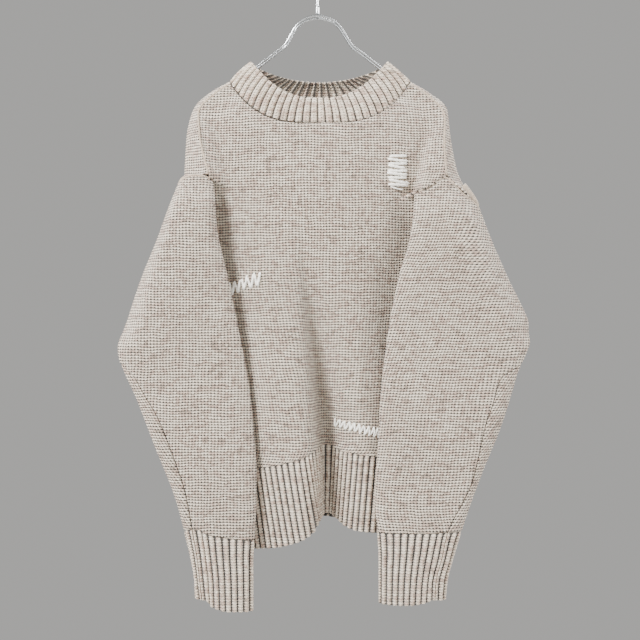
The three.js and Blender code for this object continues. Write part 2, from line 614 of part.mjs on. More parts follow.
addPanel('front', gridOf(frontSurface, bodyAcross, bodyDown),
  'hem_front', gridOf(frontHemSurface, bodyAcross, bandDown));
addPanel('back', gridOf(backSurface, backAcross, bodyDown),
  'hem_back', gridOf(backHemSurface, backAcross, bandDown));
for (const [side, word] of [[LEFT, 'left'], [RIGHT, 'right']]) {
  addPanel(`sleeve_${word}`, gridOf((s, t) => sleeveSurface(side, s, t), sleeveAround, sleeveDown),
    `cuff_${word}`, gridOf((s, w) => cuffSurface(side, s, w), sleeveAround, bandDown));
}
const collarRound = evenly(0, 1, 44).slice(0, -1);
const collarRows = gridOf(collarSurface, collarRound, evenly(0, 1, 3));
add('collar', wallGeometry(collarRows, RIB_CLOTH, EDGE, { ring: true }), OATMEAL, 1);
for (const [name, darn] of Object.entries(darns)) {
  const patch = gridOf((b, a) => darnSurface(darn, a, b), evenly(0, 1, 3), evenly(0, 1, 6));
  add(name, wallGeometry(patch, YARN, YARN), CREAM, 1);
}
add('hanger_wires', tubeGeometry(wireLoop(), WIRE_R, true), CHROME, 0.2, 1);
add('hanger_hook', tubeGeometry(hookPath(), HOOK_R), CHROME, 0.2, 1);
add('hanger_ferrule', rod([0, 0, FERRULE_TOP], [0, 0, FERRULE_END]), CHROME, 0.25, 1);
add('hanger_bridge', rod([0, -BRIDGE_REACH, BRIDGE_Z], [0, BRIDGE_REACH, BRIDGE_Z]), CHROME, 0.25, 1);

export default group;
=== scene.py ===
"""A chunky darned crew-neck sweater on a slim wire hanger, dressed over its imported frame.

All sizes below are in millimetres unless a name says otherwise; meshes are made in metres.
+X is the viewer's right, -Y the garment's front and +Z up, with the hook's crown at zero.
"""

import logging
import math
import random
from dataclasses import dataclass, field
from enum import Enum
from functools import partial
from typing import Callable, Sequence

import bpy
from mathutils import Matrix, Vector

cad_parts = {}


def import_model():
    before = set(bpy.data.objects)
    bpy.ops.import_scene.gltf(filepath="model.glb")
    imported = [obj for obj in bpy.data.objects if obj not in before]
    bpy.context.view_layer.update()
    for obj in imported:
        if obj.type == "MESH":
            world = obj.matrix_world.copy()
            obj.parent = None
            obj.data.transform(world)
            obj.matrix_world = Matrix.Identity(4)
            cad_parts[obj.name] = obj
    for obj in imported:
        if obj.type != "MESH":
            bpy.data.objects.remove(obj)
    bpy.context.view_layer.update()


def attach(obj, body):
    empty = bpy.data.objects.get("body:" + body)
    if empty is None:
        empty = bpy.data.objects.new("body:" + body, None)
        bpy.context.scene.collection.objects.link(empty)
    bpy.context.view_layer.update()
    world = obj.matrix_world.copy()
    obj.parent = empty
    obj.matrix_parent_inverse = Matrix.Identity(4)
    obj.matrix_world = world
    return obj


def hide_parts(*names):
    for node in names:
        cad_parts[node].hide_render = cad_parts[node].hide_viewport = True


LOG = logging.getLogger("sweater")
MM = 0.001
Point = tuple[float, float, float]
Surface = Callable[[float, float], Sequence[float]]
Radius = Callable[[float, float], float]
Faces = list[tuple[int, ...]]
Part = tuple[list[Vector], Faces]
Run = list[tuple[Vector, float]]
Links = dict[str | int, object]
Socket = bpy.types.NodeSocket
Tree = bpy.types.NodeTree
Material = bpy.types.Material
Piece = bpy.types.Object


class Side(Enum):
    """A side of the garment as the viewer sees it; the value is the sign of its x."""

    LEFT = -1
    RIGHT = 1


class Stitch(Enum):
    """How a piece of fabric is knitted."""

    STOCKINETTE = "stockinette"
    RIB = "rib"


# ------------------------------------------------------------------ numbers and curves
def mix(a: float, b: float, t: float) -> float:
    """Returns the value a share t of the way from a to b."""
    return a + (b - a) * t


def smooth(t: float) -> float:
    """Returns an eased step from 0 to 1, flat at both ends."""
    t = min(1.0, max(0.0, t))
    return t * t * (3 - 2 * t)


def bell(d: float) -> float:
    """Returns a rounded bump of height 1 about zero."""
    return math.exp(-d * d)


class Curve:
    """A smooth curve through knots (t, a, b, ...) that never swings past them."""

    def __init__(self, *knots: Sequence[float]) -> None:
        """Works out the slope at each knot.

        Args:
            knots: rows of t and the values there, in rising order of t.
        """
        self.t = [knot[0] for knot in knots]
        self.values = [tuple(knot[1:]) for knot in knots]
        self.slopes = [self._slope(i) for i in range(len(knots))]

    def _secant(self, i: int) -> list[float]:
        """Returns the straight slopes between knot i and the next."""
        span = self.t[i + 1] - self.t[i]
        return [(b - a) / span for a, b in zip(self.values[i], self.values[i + 1])]

    def _slope(self, i: int) -> list[float]:
        """Returns the curve's slopes at knot i: level at each turning point."""
        if i == 0:
            return self._secant(0)
        if i == len(self.t) - 1:
            return self._secant(i - 1)
        pairs = zip(self._secant(i - 1), self._secant(i))
        return [0.0 if a * b <= 0 else 2 * a * b / (a + b) for a, b in pairs]

    def __call__(self, t: float) -> list[float]:
        """Returns the values at t."""
        i = 0
        while i < len(self.t) - 2 and t > self.t[i + 1]:
            i += 1
        span = self.t[i + 1] - self.t[i]
        s = min(1.0, max(0.0, (t - self.t[i]) / span))
        start, end = (1 + 2 * s) * (1 - s) ** 2, s * s * (3 - 2 * s)
        leave, arrive = s * (1 - s) ** 2 * span, s * s * (s - 1) * span
        return [start * a + end * b + leave * m + arrive * n for a, b, m, n in zip(
            self.values[i], self.values[i + 1], self.slopes[i], self.slopes[i + 1])]

    def at(self, t: float) -> float:
        """Returns the first value at t."""
        return self(t)[0]


def steps(start: float, end: float, count: int) -> list[float]:
    """Returns count + 1 even steps from start to end."""
    return [mix(start, end, i / count) for i in range(count + 1)]


# ------------------------------------------------------------------ the hanging form
class Form:
    """The mid-surfaces of every piece of cloth, as the frame's solids have them."""

    ARMHOLE_TOP = 0.25
    ARMPIT_Z = -545
    SLEEVE_DEEP = 23
    PIT_TOP, PIT_END, SEAM_FRONT = 505, 542, 580
    BACK_RIB = 104

    def __init__(self, gap: float = 0.5) -> None:
        """Sets out the outlines, each placed one by one.

        Args:
            gap: the space left between two pieces that are sewn together.
        """
        self.gap = gap
        left, right = Side.LEFT, Side.RIGHT
        # Shoulder seam, hidden half of the armhole and side seam: v, x, y, z.
        self.front_edge = {
            left: Curve(
                (0, -121, -13, -172), (0.1, -148, -17, -193), (0.17, -163, -25, -216),
                (0.21, -160, -38, -252), (0.25, -147, -46, -303), (0.27, -149, -38, -308),
                (0.29, -153, -30, -316), (0.36, -168, -23, -378), (0.48, -218, -20, -460),
                (0.6, -262, -18, -545), (0.66, -240, -14, -580), (0.8, -204, -12, -645),
                (1, -178, -12, -712)),
            right: Curve(
                (0, 128, -13, -172), (0.1, 158, -17, -195), (0.17, 174, -26, -222), (0.21, 172, -40, -262),
                (0.25, 174, -48, -305), (0.27, 157, -49, -315), (0.29, 139, -44, -323),
                (0.31, 136, -32, -332), (0.36, 158, -24, -372), (0.48, 222, -20, -450),
                (0.6, 276, -18, -540), (0.66, 250, -14, -580), (0.8, 212, -12, -645), (1, 178, -12, -704))}
        # How far the middle hangs below the edges and how square its curve is.
        self.front_fall = Curve(
            (0, 60, 3.3), (0.1, 62, 2.8), (0.25, 40, 2.4), (0.4, 14, 2), (0.6, 2, 2), (1, 0, 2))
        # Outlines below are by depth under the hook: -z, x.
        self.shoulder_fold = {
            left: Curve((215, -161), (244, -157), (269, -151), (292, -142), (326, -138)),
            right: Curve((200, 171), (233, 160), (255, 153), (286, 146), (326, 137))}
        self.outer = {
            left: Curve(
                (300, -184), (347, -203), (391, -219), (443, -240), (497, -258), (535, -269), (549, -268),
                (568, -261), (604, -244), (669, -218), (734, -191), (777, -178), (818, -168), (849, -163),
                (885, -161)),
            right: Curve(
                (286, 193), (338, 217), (390, 237), (445, 261), (488, 282), (504, 288), (525, 288),
                (544, 282), (568, 271), (602, 260), (636, 249), (718, 215), (790, 189), (852, 172),
                (885, 169))}
        self.inner = {
            left: Curve(
                (303, -146), (319, -142), (376, -137), (440, -123), (512, -108), (608, -91), (651, -87),
                (700, -83), (739, -83), (789, -85), (821, -87), (890, -87)),
            right: Curve(
                (303, 136), (321, 134), (351, 132), (392, 126), (440, 112), (517, 97), (608, 86), (665, 83),
                (749, 79), (784, 82), (816, 84), (885, 84))}
        self.underarm = {
            left: Curve(
                (545, -262), (560, -252), (595, -233), (632, -212), (677, -194), (731, -175), (772, -166),
                (821, -157), (885, -150)),
            right: Curve(
                (540, 272), (560, 256), (582, 243), (618, 232), (634, 226), (718, 203), (782, 173),
                (815, 165), (849, 157), (885, 155))}
        self.hidden = Curve(
            (300, -31), (345, -35), (545, -38), (640, -44), (720, -50), (790, -56), (885, -58))
        # Plan of the front hem: two lobes either side of a deep fold: x, y.
        self.hem_plan = Curve(
            (-190, -12), (-150, -15), (-122, -22), (-100, -36), (-78, -52), (-50, -63), (-24, -66),
            (-8, -59), (1, -38), (8, -13), (17, -11), (28, -24), (42, -38), (66, -47), (90, -42),
            (116, -26), (145, -15), (190, -12))
        self.chest_middle = Curve(
            (172, -22), (232, -39), (300, -41), (420, -40), (560, -37), (720, -36))
        self.chest_side = Curve((172, -13), (232, -20), (330, -22), (560, -16), (720, -12))
        self.rib_top = Curve(
            (-190, -716), (-120, -707), (-81, -700), (-47, -693), (-17, -684), (0, -673), (16, -670),
            (30, -677), (78, -685), (130, -694), (190, -706))
        self.rib_bottom = Curve(
            (-190, -824), (-120, -815), (-80, -809), (-48, -804), (-22, -796), (-4, -785), (5, -772),
            (14, -767), (24, -771), (37, -781), (52, -786), (80, -789), (130, -796), (190, -808))
        self.rib_lean = Curve(
            (-190, 4), (-110, 12), (-60, 18), (-16, 15), (6, 1), (24, -5), (60, -9), (120, -6), (190, -3))
        # The back's columns from its left edge to its right: u, then v, x, y, z.
        self.back_columns = self._back_columns()
        # Heights of the sleeve's rows round the arm: s, z.
        self.head = {
            left: Curve(
                (0, -325), (0.08, -316), (0.18, -308), (0.32, -304.8), (0.45, -307), (0.55, -313),
                (0.68, -321), (1, -329)),
            right: Curve(
                (0, -361), (0.08, -350), (0.18, -330), (0.3, -308.5), (0.42, -322), (0.55, -329),
                (0.68, -335), (1, -343))}
        self.cuff_top = {
            left: Curve((0, -778), (0.1, -778), (0.3, -787), (0.55, -793), (0.8, -784), (1, -778)),
            right: Curve((0, -782), (0.1, -782), (0.3, -783), (0.55, -783), (0.8, -782), (1, -782))}
        self.cuff_end = {
            left: Curve(
                (0, -871), (0.05, -872), (0.12, -874), (0.2, -879), (0.35, -886), (0.55, -887), (0.8, -880),
                (0.95, -871), (1, -871)),
            right: Curve(
                (0, -871), (0.1, -872), (0.2, -874), (0.35, -878), (0.55, -877), (0.8, -874), (0.95, -872),
                (1, -871))}
        self.armhole = {side: self._armhole(side) for side in Side}

    @staticmethod
    def _back_columns() -> list[tuple[float, Curve]]:
        """Returns the back's columns: where each lies across and its curve down."""
        return [
            (0, Curve(
                (0, -121, -12, -171), (0.1, -150, -16, -192), (0.17, -165, -24, -215),
                (0.21, -161, -39, -253), (0.25, -149, -46, -301), (0.265, -166, -46, -305),
                (0.28, -181, -32, -311), (0.3, -187, -12, -322), (0.36, -208, -9, -376),
                (0.48, -242, -9, -460), (0.6, -266, -12, -545), (0.66, -242, -9, -580),
                (0.8, -205, -8, -645), (1, -178, -8, -712))),
            (0.07, Curve(
                (0, -120, 0, -167), (0.1, -150, 0, -184), (0.17, -172, 0, -206), (0.21, -180, -12, -245),
                (0.25, -183, -14, -298), (0.3, -185, -3, -330), (0.36, -200, 1, -380),
                (0.48, -232, 1, -463), (0.6, -254, 1, -550), (0.66, -234, 1, -580), (0.8, -199, 1, -645),
                (1, -172, 1, -712))),
            (0.16, Curve(
                (0, -118, 13, -170), (0.1, -143, 15, -197), (0.17, -166, 16, -230), (0.21, -170, 14, -268),
                (0.25, -170, 12, -310), (0.36, -176, 12, -390), (0.6, -212, 10, -552), (1, -150, 8, -712))),
            (0.3, Curve(
                (0, -58, 27, -183), (0.1, -86, 25, -216), (0.17, -100, 24, -258), (0.25, -104, 22, -330),
                (0.36, -108, 20, -400), (0.6, -118, 17, -556), (1, -86, 14, -706))),
            (0.5, Curve(
                (0, 2, 31, -187), (0.1, 3, 28, -226), (0.17, 3, 26, -272), (0.25, 3, 24, -342),
                (0.36, 4, 22, -408), (0.6, 5, 19, -560), (1, 4, 15, -672))),
            (0.7, Curve(
                (0, 64, 27, -183), (0.1, 92, 25, -216), (0.17, 108, 24, -258), (0.25, 112, 22, -330),
                (0.36, 116, 20, -400), (0.6, 124, 17, -556), (1, 88, 14, -694))),
            (0.84, Curve(
                (0, 124, 13, -170), (0.1, 150, 15, -199), (0.17, 174, 16, -232), (0.21, 178, 14, -270),
                (0.25, 182, 12, -312), (0.36, 190, 12, -390), (0.6, 222, 10, -548), (1, 151, 8, -704))),
            (0.93, Curve(
                (0, 127, 0, -167), (0.1, 157, 0, -185), (0.17, 180, 0, -207), (0.21, 182, -12, -238),
                (0.25, 191, -14, -290), (0.3, 207, -12, -330), (0.36, 215, -1, -375), (0.48, 246, 1, -450),
                (0.6, 268, 1, -545), (0.66, 244, 1, -580), (0.8, 206, 1, -645), (1, 172, 1, -704))),
            (1, Curve(
                (0, 128, -12, -171), (0.1, 160, -16, -194), (0.17, 176, -25, -221), (0.21, 174, -41, -262),
                (0.25, 176, -48, -303), (0.28, 195, -46, -322), (0.3, 211, -36, -337),
                (0.33, 222, -12, -355), (0.36, 228, -9, -376), (0.48, 260, -9, -450), (0.6, 281, -12, -540),
                (0.66, 252, -9, -580), (0.8, 213, -8, -645), (1, 178, -8, -704)))]

    def _armhole(self, side: Side) -> Curve:
        """Returns the armhole's hidden half by depth: -z, x, y.

        Args:
            side: which armhole.
        """
        points = [self.front_edge[side](v) for v in steps(0.29, 0.62, 60)]
        return Curve(*[(-z, x, y) for x, y, z in points])

    def front_depth(self, x: float, z: float) -> float:
        """Returns how far back the front panel lies at a place, shoulder folds aside.

        Args:
            x: place across.
            z: height.

        Returns:
            The depth y.
        """
        grow = smooth((-330 - z) / 390)
        half_width = mix(150, 190, smooth((-z - 200) / 300))
        roundness = min(1.0, (x / half_width) ** 2)
        plain = mix(self.chest_middle.at(-z), self.chest_side.at(-z), roundness)
        depth = mix(plain, self.hem_plan.at(x + 30 * (1 - grow)), grow)
        shown = smooth((-z - 290) / 60) * (1 - grow)
        for side in Side:
            depth += 9 * shown * bell((x - self.inner[side].at(-z)) / 24)
        return depth

    def front(self, u: float, v: float) -> Point:
        """Returns a point of the front, u left to right, v from neck (0) to rib (1)."""
        left, right = self.front_edge[Side.LEFT](v), self.front_edge[Side.RIGHT](v)
        x = mix(left[0], right[0], u)
        fall, squareness = self.front_fall(v)
        level = mix(left[2], right[2], u) - fall * (1 - abs(2 * u - 1) ** squareness)
        z = mix(level, self.rib_top.at(x), smooth((v - 0.6) / 0.4))
        side, edge = (Side.LEFT, left) if u < 0.5 else (Side.RIGHT, right)
        over = side.value * (x - self.shoulder_fold[side].at(-z))
        folded = smooth((over + 7) / 14) * (1 - smooth((v - 0.27) / 0.06))
        y = mix(self.front_depth(x, z), edge[1], folded)
        to_edge = smooth(1 - min(u, 1 - u) / 0.1)
        return x, mix(y, edge[1], to_edge * (1 - folded)), z

    def front_hem(self, u: float, w: float) -> Point:
        """Returns a point of the front's rib, w from its join (0) to the hem (1)."""
        top = self.front(u, 1)
        x = top[0] + self.rib_lean.at(top[0]) * w
        z = mix(top[2] - self.gap, self.rib_bottom.at(x), w)
        to_edge = smooth(1 - min(u, 1 - u) / 0.1)
        return x, mix(self.front_depth(x, z), top[1], to_edge), z

    def back(self, u: float, v: float) -> Sequence[float]:
        """Returns a point of the back, u left to right, v from neck (0) to rib (1)."""
        return Curve(*[(at, *line(v)) for at, line in self.back_columns])(u)

    def back_hem(self, u: float, w: float) -> Point:
        """Returns a point of the back's rib, w from its join (0) to the hem (1)."""
        x, y, z = self.back(u, 1)
        return x, y - 2 * w, z - self.gap - (self.BACK_RIB - self.gap) * w

    def sleeve_loop(self, side: Side, q: float, z: float) -> Sequence[float]:
        """Returns x and y on the closed, flattened tube; q goes once round the arm."""
        outer, inner = self.outer[side].at(-z), self.inner[side].at(-z)
        wide = inner - outer
        hidden = self.hidden.at(-z)
        face = hidden - self.SLEEVE_DEEP
        ring = [
            (0, outer, mix(face, hidden, 0.55)), (0.1, outer + wide * 0.1, face + 2),
            (0.18, outer + wide * 0.22, face), (0.32, outer + wide * 0.5, face - 2),
            (0.45, outer + wide * 0.84, face), (0.55, inner, mix(face, hidden, 0.42)),
            (0.66, inner - wide * 0.16, hidden), (0.8, outer + wide * 0.4, hidden + 1),
            (0.92, outer + wide * 0.08, hidden - 2)]
        before = [(ring[-1][0] - 1, *ring[-1][1:])]
        after = [(knot[0] + 1, *knot[1:]) for knot in ring[:3]]
        return Curve(*before, *ring, *after)(q)

    def sleeve_section(self, side: Side, s: float, z: float) -> Point:
        """Returns a point of the sleeve at a height: a tube, open above the armpit.

        Args:
            side: which sleeve.
            s: the way round, from the back edge over the face to the hidden front edge.
            z: height.

        Returns:
            The point.
        """
        outer, inner = self.outer[side].at(-z), self.inner[side].at(-z)
        wide = inner - outer
        shut = smooth((-z - self.PIT_TOP) / (self.PIT_END - self.PIT_TOP))
        turn = smooth((-z - self.PIT_END) / (self.SEAM_FRONT - self.PIT_END))
        seam_at = mix(-0.05, 0.9 * (self.underarm[side].at(-z) - outer) / wide, turn)
        ending = smooth((s - 0.78) / 0.22)
        gap = 1.4 * self.gap / abs(wide)
        q = s + seam_at * (1 - smooth(s / 0.25) + ending) - gap * ending
        tube = self.sleeve_loop(side, q, z)
        if shut == 1:
            return tube[0], tube[1], z
        start = smooth((self.head[side].at(s) - z) / 45)
        hidden = self.hidden.at(-z)
        face = mix(-47, hidden - self.SLEEVE_DEEP, start)
        rear = self.armhole[side](-z)
        rear = (rear[0] + side.value * 0.6, rear[1] - 2.4)
        tuck = inner - wide * 0.16
        way = Curve(
            (0, outer - side.value / 2, -15.5), (0.08, outer, -30),
            (0.18, outer + wide * 0.2, face + 1), (0.32, outer + wide * 0.5, face - 2),
            (0.45, outer + wide * 0.84, face), (0.55, inner, mix(face, hidden, 0.42)),
            (0.66, tuck, hidden), (0.8, mix(tuck, rear[0], 0.55), mix(hidden, rear[1], 0.4)),
            (0.92, mix(tuck, rear[0], 0.88), mix(hidden, rear[1], 0.8)), (1, *rear))(s)
        return mix(way[0], tube[0], shut), mix(way[1], tube[1], shut), z

    def sleeve(self, side: Side, s: float, t: float) -> Point:
        """Returns a point of the sleeve, t from the armhole (0) to the cuff (1)."""
        return self.sleeve_section(side, s, mix(self.head[side].at(s), self.cuff_top[side].at(s), t))

    def cuff(self, side: Side, s: float, w: float) -> Point:
        """Returns a point of the cuff, w from its join (0) to the wrist (1)."""
        top = self.cuff_top[side].at(s) - self.gap
        return self.sleeve_section(side, s, mix(top, self.cuff_end[side].at(s), w))

    def collar(self, a: float, h: float) -> Point:
        """Returns a point of the collar ring, h from the neck seam (0) to its top (1).

        Args:
            a: the way round from the left corner along the front.
            h: the way up.

        Returns:
            The point.
        """
        front = a < 0.5
        u = a * 2 if front else 2 - a * 2
        neck = self.front(u, 0) if front else self.back(u, 0)
        depth, low, squareness = (-33, -197, 2.5) if front else (23, -163, 2)
        across = abs(2 * u - 1)
        top = (mix(-92, 97, u), depth * math.sqrt(max(0.0, 1 - across ** 6)),
               mix(-141, low, 1 - across ** squareness))
        rise = mix(0.03, 1, h)
        belly = 2.5 * math.sin(math.pi * h)
        size = math.hypot(neck[0] * 0.4, neck[1])
        return (mix(neck[0], top[0], rise) + neck[0] * 0.4 / size * belly,
                mix(neck[1], top[1], rise) + neck[1] / size * belly,
                mix(neck[2], top[2], rise) + self.gap)


# ------------------------------------------------------------------ meshes
def new_piece(name: str, vertices: list[Vector], faces: Faces) -> Piece:
    """Returns a smooth object of these points, in metres, and faces, linked to the scene."""
    mesh = bpy.data.meshes.new(name)
    mesh.from_pydata(vertices, [], faces)
    mesh.polygons.foreach_set("use_smooth", [True] * len(mesh.polygons))
    piece = bpy.data.objects.new(name, mesh)
    bpy.context.collection.objects.link(piece)
    return piece


def lengths(points: Sequence[Vector]) -> list[float]:
    """Returns the length of the line through the points, from the first to each of them."""
    run = [0.0]
    for a, b in zip(points, points[1:]):
        run.append(run[-1] + (b - a).length)
    return run


def finer_near(start: float, end: float, length: float, step: float) -> list[float]:
    """Returns even steps along a length, with three more close to each end.

    Args:
        start: the parameter at the first end.
        end: the parameter at the last end.
        length: the real length between them.
        step: the spacing wanted.

    Returns:
        Parameters in rising order, so that an edge can be rounded.
    """
    rim = [d / length for d in (0.35, 0.9, 1.8)]
    inside = steps(3.4 / length, 1 - 3.4 / length, max(2, round(length / step)))
    shares = [0.0, *rim, *inside, *[1 - d for d in reversed(rim)], 1.0]
    return [mix(start, end, share) for share in shares]


@dataclass
class Wave:
    """The up and down of a rib across its band."""

    count: int
    height: float
    flatness: float = 1.0
    groove: float = 0.0
    fade_in: float = 0.0

    def lift(self, share: float, down: float) -> float:
        """Returns how far the cloth stands out.

        Args:
            share: the way across the band, 0 to 1.
            down: the way from the band's join to its free edge, 0 to 1.

        Returns:
            The lift, in millimetres.
        """
        turn = share * self.count
        crest = math.cos(2 * math.pi * turn)
        shaped = math.tanh(self.flatness * crest) / math.tanh(self.flatness)
        middle = turn - round(turn)
        started = smooth(down / self.fade_in) if self.fade_in else 1.0
        return started * (self.height * shaped - self.groove * bell(middle / 0.07))


@dataclass
class Shell:
    """A closed knitted wall over a grid of a mid-surface, with rounded free edges."""

    name: str
    surface: Surface
    across: list[float]
    down: list[float]
    thickness: float
    wave: Wave | None = None
    anchor: float = 0.5
    ring: bool = False
    outward: int = 1
    shares: list[float] = field(default_factory=list)

    def build(self) -> Piece:
        """Returns the shell as a new object with its knit coordinates."""
        rows = [[Vector(self.surface(u, v)) for u in self.across] for v in self.down]
        normals = self._normals(rows)
        if self.wave:
            shares = self.shares or self.across
            for i, row in enumerate(rows):
                for j, point in enumerate(row):
                    row[j] = point + normals[i][j] * self.outward * self.wave.lift(shares[j], self.down[i])
            normals = self._normals(rows)
        knit = self._knit(rows)
        thin = self._rim(rows)
        m, n = len(rows), len(rows[0])
        vertices = [(rows[i][j] + normals[i][j] * side * self.thickness / 2 * thin[i][j]) * MM
                    for side in (1, -1) for i in range(m) for j in range(n)]
        faces = self._faces(m, n)
        if self._volume(vertices, faces) < 0:
            faces = [tuple(reversed(face)) for face in faces]
        piece = new_piece(self.name, vertices, faces)
        layer = piece.data.uv_layers.new(name="knit")
        for loop in piece.data.loops:
            i, j = divmod(loop.vertex_index % (m * n), n)
            layer.data[loop.index].uv = knit[i][j]
        return piece

    def _normals(self, rows: list[list[Vector]]) -> list[list[Vector]]:
        """Returns the surface normal at each point of the grid."""
        m, n = len(rows), len(rows[0])

        def at(i: int, j: int) -> Vector:
            """Returns a grid point, held at the borders and wrapped round a ring."""
            return rows[min(m - 1, max(0, i))][j % n if self.ring else min(n - 1, max(0, j))]

        return [[(at(i + 1, j) - at(i - 1, j)).cross(at(i, j + 1) - at(i, j - 1)).normalized()
                 for j in range(n)] for i in range(m)]

    def _knit(self, rows: list[list[Vector]]) -> list[list[tuple[float, float]]]:
        """Returns millimetres across the wales and down the courses for each point."""
        origin = min(range(len(self.across)), key=lambda j: abs(self.across[j] - self.anchor))
        table = []
        for i, row in enumerate(rows):
            if self.wave:
                shares = self.shares or self.across
                table.append([(share * self.wave.count, -point.z) for share, point in zip(shares, row)])
                continue
            run = [0.0]
            for a, b in zip(row, row[1:]):
                run.append(run[-1] + math.hypot(b.x - a.x, b.y - a.y))
            start = run[origin] - row[origin].x
            table.append([(length - start, -point.z) for length, point in zip(run, row)])
        return table

    def _rim(self, rows: list[list[Vector]]) -> list[list[float]]:
        """Returns the share of the full thickness at each point: less at a free edge."""
        m, n = len(rows), len(rows[0])
        radius = self.thickness * 0.6

        def share(distance: float) -> float:
            """Returns the height of a round edge at a distance in from it."""
            t = min(1.0, distance / radius)
            return max(0.12, math.sqrt(t * (2 - t)))

        table = []
        for i in range(m):
            line = []
            for j in range(n):
                inward = [(rows[i][j] - rows[0][j]).length, (rows[i][j] - rows[m - 1][j]).length]
                if not self.ring:
                    inward += [(rows[i][j] - rows[i][0]).length, (rows[i][j] - rows[i][n - 1]).length]
                line.append(share(min(inward)))
            table.append(line)
        return table

    def _faces(self, m: int, n: int) -> Faces:
        """Returns the quads of both faces and of the borders of an m by n grid."""
        columns = n if self.ring else n - 1
        size = m * n
        faces = []
        for i in range(m - 1):
            for j in range(columns):
                k = (j + 1) % n
                a, b, c, d = i * n + j, (i + 1) * n + j, (i + 1) * n + k, i * n + k
                faces += [(a, b, c, d), (size + a, size + d, size + c, size + b)]
        for j in range(columns):
            k = (j + 1) % n
            last = (m - 1) * n
            faces += [(j, k, size + k, size + j),
                      (last + k, last + j, size + last + j, size + last + k)]
        if not self.ring:
            for i in range(m - 1):
                a, b = i * n, (i + 1) * n
                faces += [(b, a, size + a, size + b),
                          (a + n - 1, b + n - 1, size + b + n - 1, size + a + n - 1)]
        return faces

    @staticmethod
    def _volume(vertices: list[Vector], faces: Faces) -> float:
        """Returns six times the signed volume inside the faces."""
        total = 0.0
        for a, b, c, d in faces:
            p, q, r, s = vertices[a], vertices[b], vertices[c], vertices[d]
            total += p.dot(q.cross(r)) + p.dot(r.cross(s))
        return total


def even_across(surface: Surface, row: float, count: int,
                ring: bool = False) -> tuple[list[float], list[float]]:
    """Spaces points evenly along a row of a surface.

    Args:
        surface: the surface.
        row: its second parameter on the row.
        count: how many steps.
        ring: whether the row closes on itself.

    Returns:
        The parameters, and the share of the row's length at each.
    """
    fine = steps(0, 1, 600)
    run = lengths([Vector(surface(min(u, 0.99999) if ring else u, row)) for u in fine])
    shares = steps(0, 1, count)
    lookup = Curve(*[(length / run[-1], u) for length, u in zip(run, fine)])
    places = [lookup.at(share) for share in shares]
    return (places[:-1], shares[:-1]) if ring else (places, shares)


def pointwise(radii: Sequence[float]) -> Radius:
    """Returns a tube's radius as one value for each point of its path, whatever the angle."""
    def radius(t: float, angle: float) -> float:
        """Returns the radius at a share of the length."""
        return radii[round(t * (len(radii) - 1))]

    return radius


def tube(path: Sequence[Vector], radius: Radius, sides: int = 10, loop: bool = False) -> Part:
    """Makes the points and faces of a closed tube.

    Args:
        path: its centre line, in millimetres.
        radius: its radius at a share of its length and an angle round it.
        sides: how many sides it has.
        loop: whether its end joins its start.

    Returns:
        The vertices in metres and the faces.
    """
    m = len(path)
    vertices, faces = [], []
    side = (path[1] - path[0]).orthogonal().normalized()
    for i, point in enumerate(path):
        ahead = path[(i + 1) % m] if loop else path[min(i + 1, m - 1)]
        behind = path[i - 1] if loop or i else path[0]
        along = (ahead - behind).normalized()
        side = (side - along * side.dot(along)).normalized()
        other = along.cross(side)
        for k in range(sides):
            angle = 2 * math.pi * k / sides
            r = radius(i / (m - 1), angle)
            vertices.append((point + (side * math.cos(angle) + other * math.sin(angle)) * r) * MM)
    for i in range(m if loop else m - 1):
        for k in range(sides):
            a, b = i * sides + k, i * sides + (k + 1) % sides
            c, d = ((i + 1) % m) * sides + (k + 1) % sides, ((i + 1) % m) * sides + k
            faces.append((a, b, c, d))
    if not loop:
        faces.append(tuple(reversed(range(sides))))
        faces.append(tuple(range((m - 1) * sides, m * sides)))
    return vertices, faces


def joined(name: str, parts: list[Part]) -> Piece:
    """Returns one smooth object made of several runs of points and faces.

    Args:
        name: the object's name.
        parts: vertices and faces of each part.

    Returns:
        The object.
    """
    vertices, faces = [], []
    for points, quads in parts:
        base = len(vertices)
        vertices += points
        faces += [tuple(base + index for index in quad) for quad in quads]
    return new_piece(name, vertices, faces)


def through(points: Sequence[Point], count: int) -> list[Vector]:
    """Returns evenly spread points on a smooth line through the given ones.

    Args:
        points: the line's points, in millimetres.
        count: how many steps to return.

    Returns:
        The points.
    """
    run = lengths([Vector(point) for point in points])
    line = Curve(*[(length, *point) for length, point in zip(run, points)])
    return [Vector(line(length)) for length in steps(0, run[-1], count)]


# ------------------------------------------------------------------ finishes
def linear(colour: str) -> tuple[float, float, float, float]:
    """Returns an sRGB hex colour as linear RGBA."""
    values = [int(colour[i:i + 2], 16) / 255 for i in (0, 2, 4)]
    return (*[v / 12.92 if v <= 0.04045 else ((v + 0.055) / 1.055) ** 2.4 for v in values], 1.0)


def add(tree: Tree, kind: str, inputs: Links, **settings: object) -> Socket | None:
    """Adds a shader node.

    Args:
        tree: the material's tree.
        kind: the node's type, without its ShaderNode prefix.
        inputs: a value or another node's output for each input, by name or number.
        settings: the node's own options.

    Returns:
        The node's first output, or None for a node that ends the tree.
    """
    node = tree.nodes.new("ShaderNode" + kind)
    for key, value in settings.items():
        setattr(node, key, value)
    for key, value in inputs.items():
        if isinstance(value, Socket):
            tree.links.new(value, node.inputs[key])
        else:
            node.inputs[key].default_value = value
    return node.outputs[0] if node.outputs else None


class Finish:
    """A finish, which says what its surface is like and is made into a material."""

    name: str

    def material(self) -> Material:
        """Returns the finish as a material."""
        material = bpy.data.materials.new(self.name)
        material.use_nodes = True
        tree = material.node_tree
        tree.nodes.clear()
        add(tree, "OutputMaterial", {"Surface": self.shader(tree)})
        return material

    def shader(self, tree: Tree) -> Socket:
        """Adds the finish's nodes and returns their shader."""
        raise NotImplementedError


